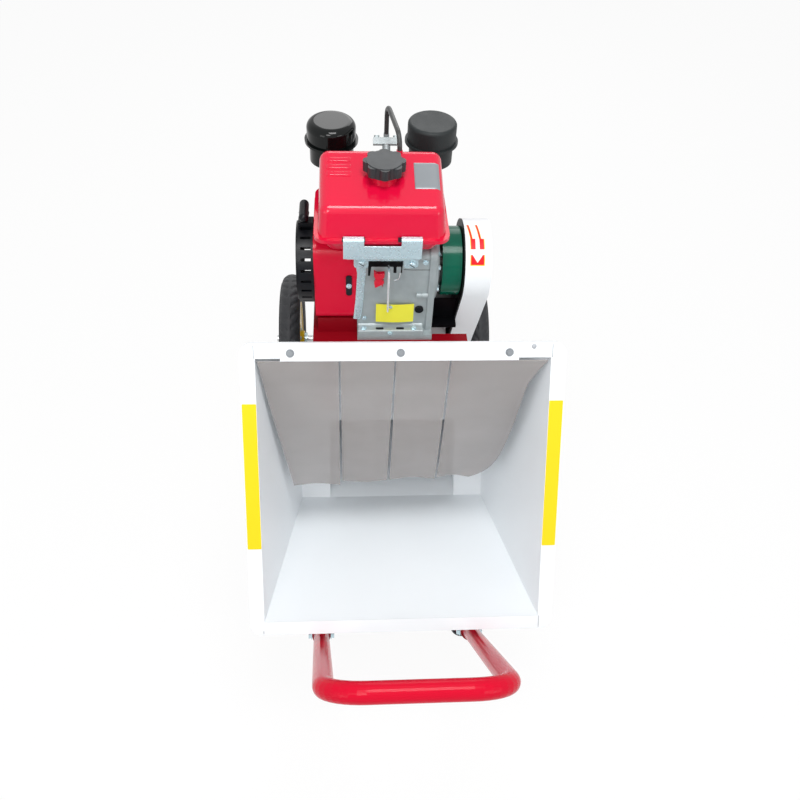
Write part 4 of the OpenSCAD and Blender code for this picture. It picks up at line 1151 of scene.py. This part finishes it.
def rim_patch(name, material, starts, ends, span, lift):
    """A patch on the rim over a span of degrees. starts and ends are the x of its two sides
    where the span starts and where it ends."""
    steps = max(8, int(abs(span[1] - span[0]) / 2))

    def pair(s, t):
        angle = span[0] + (span[1] - span[0]) * t
        low = starts[0] + (ends[0] - starts[0]) * t
        high = starts[1] + (ends[1] - starts[1]) * t
        x = low + (high - low) * s
        return on_rim(x, angle, lift), on_rim(x, angle, RIM_SINK)

    add_piece(name, *slab(*two_grids(steps, 8, pair)), material)


def even_patch(name, material, sides, span, lift):
    """A patch with the same two sides all along it."""
    rim_patch(name, material, sides, sides, span, lift)


def arrow_side(side, outer, inner):
    """One side of the field: a red stripe beside the stem, and a leaning tail with a border."""
    tail = outer + TAIL_LEAN
    half = BORDER / 2
    rim_patch(f"arrow_border_{side}_top", "tape_yellow", (tail - half, tail + TAIL_WIDTH + half),
              (outer - half, outer + TAIL_WIDTH + OVERLAP), TAIL, BORDER_LIFT)
    rim_patch(f"arrow_red_{side}_top", "arrow_red", (tail, tail + TAIL_WIDTH),
              (outer, outer + TAIL_WIDTH), TAIL, FIELD_LIFT)
    even_patch(f"arrow_red_{side}", "arrow_red", (outer, inner), STEM, FIELD_LIFT)


def turning_arrow():
    """A white arrow on a red field with a yellow border, which shows the way the drive turns."""
    left, right = FIELD
    wide = (left - BORDER, right + BORDER)
    centre = (left + right) / 2
    arrow_side("left", left, SHAFT[0])
    arrow_side("right", SHAFT[1], right)
    even_patch("arrow_border_left", "tape_yellow", (wide[0], left + OVERLAP), STEM, BORDER_LIFT)
    even_patch("arrow_border_right", "tape_yellow", (right - OVERLAP, wide[1]), STEM, BORDER_LIFT)
    even_patch("arrow_border_foot", "tape_yellow", wide, FOOT_BORDER, BORDER_LIFT)
    even_patch("arrow_red_foot", "arrow_red", FIELD, FOOT, FIELD_LIFT)
    rim_patch("arrow_white_tip", "arrow_white", (left + 0.003, right - 0.003),
              (centre - 0.0004, centre + 0.0004), TIP, TIP_LIFT)
    even_patch("arrow_white_head", "arrow_white", wide, HEAD, FIELD_LIFT)
    even_patch("arrow_white_shaft", "arrow_white", SHAFT, STEM, FIELD_LIFT)


turning_arrow()


# Tyres with chevron lugs

LUGS = 36
STEPS_PER_LUG = 10
TYRE_SIDES = 56
BEAD_REACH = 0.0043

# The tread across its section, in degrees from its middle
RIB_HALF = 7
TREAD_HALF = 58.0
SHOULDER = 14
SHOULDER_FADE = 16

# The lugs round the tyre, as shares of the step from one lug to the next
LUG_SWEEP = 0.9
LUG_HALF = 0.31
LUG_RAMP = 0.07

LUG_DEPTH = 0.0024
SHOULDER_LEVEL = 0.35

# The line round each side wall, in degrees from the middle of the tread
LINE_FROM = 96
LINE_TO = 112
LINE_DEPTH = 0.0009


def smooth(x):
    x = min(1.0, max(0.0, x))
    return x * x * (3 - 2 * x)


def lug_height(turn, lean):
    """0 in a groove and 1 on a lug. turn is in lugs round the tyre, lean in degrees across it."""
    across = abs(lean)
    if across < RIB_HALF:
        return 1.0
    phase = (turn + across / TREAD_HALF * LUG_SWEEP) % 1.0
    lug = smooth((LUG_HALF - abs(phase - 0.5)) / LUG_RAMP + 0.5)
    fade = smooth((TREAD_HALF + SHOULDER - across) / SHOULDER_FADE)
    if across > TREAD_HALF:
        return max(lug * fade, SHOULDER_LEVEL * fade)
    return lug


def section_radius(half, turn, lean):
    """The tyre's section, with its lugs and a shallow line round each side wall."""
    across = abs(lean)
    if across < TREAD_HALF + SHOULDER:
        return half - LUG_DEPTH * (1 - lug_height(turn, lean))
    if LINE_FROM < across < LINE_TO:
        share = (across - LINE_FROM) / (LINE_TO - LINE_FROM)
        return half - LINE_DEPTH * math.sin(math.pi * share)
    return half


def tyre(node, body, name):
    low, high = (Vector(p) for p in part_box(node))
    centre = (low + high) / 2
    half = (high.x - low.x) / 2
    outer = (high.z - low.z) / 2
    ring = outer - half
    bore = outer - 2 * half + BEAD_REACH
    steps = LUGS * STEPS_PER_LUG
    verts = []
    for i in range(steps):
        a = 2 * math.pi * i / steps
        for k in range(TYRE_SIDES):
            lean = 360.0 * k / TYRE_SIDES - 180.0
            r = section_radius(half, i / STEPS_PER_LUG, lean)
            phi = math.radians(lean)
            radius = max(ring + r * math.cos(phi), bore)
            out = Vector((r * math.sin(phi), radius * math.cos(a), radius * math.sin(a)))
            verts.append(centre + out)
    piece = add_piece(name, verts, ring_faces(steps, TYRE_SIDES), "tyre_rubber", body)
    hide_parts(node)


tyre("tyre_left", "left_wheel", "tread_tyre_left")
tyre("tyre_right", "right_wheel", "tread_tyre_right")


# Rims: pressed beads, hub bolts and a valve

# Each bead's radius and half width
BEADS = ((0.1120, 0.0040), (0.0980, 0.0022), (0.0400, 0.0034))
HUB_BOLTS = 6
FIRST_BOLT = 15
BOLT_CIRCLE = 0.0310
BOLT_ACROSS = 0.0075
VALVE_ANGLE = math.radians(70)
VALVE_CIRCLE = 0.118
BESIDE_RIM = 0.2


def beads_and_bolts(skin, centre, axis):
    """What one face of a rim carries; axis points out of that face."""
    outside = centre + axis * BESIDE_RIM
    beads, bolts = [], []
    for radius, thick in BEADS:
        hit, _ = meet(skin, outside + Vector((0, radius, 0)), -axis)
        beads.append(hoop((hit.x, centre.y, centre.z), axis, radius, thick))
    for k in range(HUB_BOLTS):
        a = math.radians(360 // HUB_BOLTS * k + FIRST_BOLT)
        out = Vector((0, math.cos(a), math.sin(a)))
        hit, _ = meet(skin, centre + out * BOLT_CIRCLE + axis * BESIDE_RIM, -axis)
        bolts.append(hex_bolt(hit, axis, BOLT_ACROSS))
    return beads, bolts


def valve(skin, centre, axis):
    """A bent rubber valve on the face that axis points out of."""
    out = Vector((0, math.cos(VALVE_ANGLE), math.sin(VALVE_ANGLE)))
    hit, _ = meet(skin, centre + out * VALVE_CIRCLE + axis * BESIDE_RIM, -axis)
    foot = hit - axis * 0.001
    path = [foot, foot + axis * 0.008, foot + axis * 0.014 - out * 0.002,
            foot + axis * 0.017 - out * 0.003]
    return tube(path, [0.0042, 0.0036, 0.0030, 0.0034], 14)


def rim_trim(node, body, side):
    """side is -1 for the left wheel and 1 for the right one."""
    centre = middle(node)
    skin = surface_of(node)
    beads, bolts = [], []
    for facing in (-1, 1):
        more_beads, more_bolts = beads_and_bolts(skin, centre, Vector((facing, 0, 0)))
        beads += more_beads
        bolts += more_bolts
    add_piece(f"{node}_beads", *merge(*beads), "yellow_rim", body)
    add_piece(f"{node}_bolts", *merge(*bolts), "zinc_steel", body)
    stem = valve(skin, centre, Vector((side, 0, 0)))
    add_piece(f"{node}_valve", *stem, "black_rubber", body)


rim_trim("rim_left", "left_wheel", -1)
rim_trim("rim_right", "right_wheel", 1)
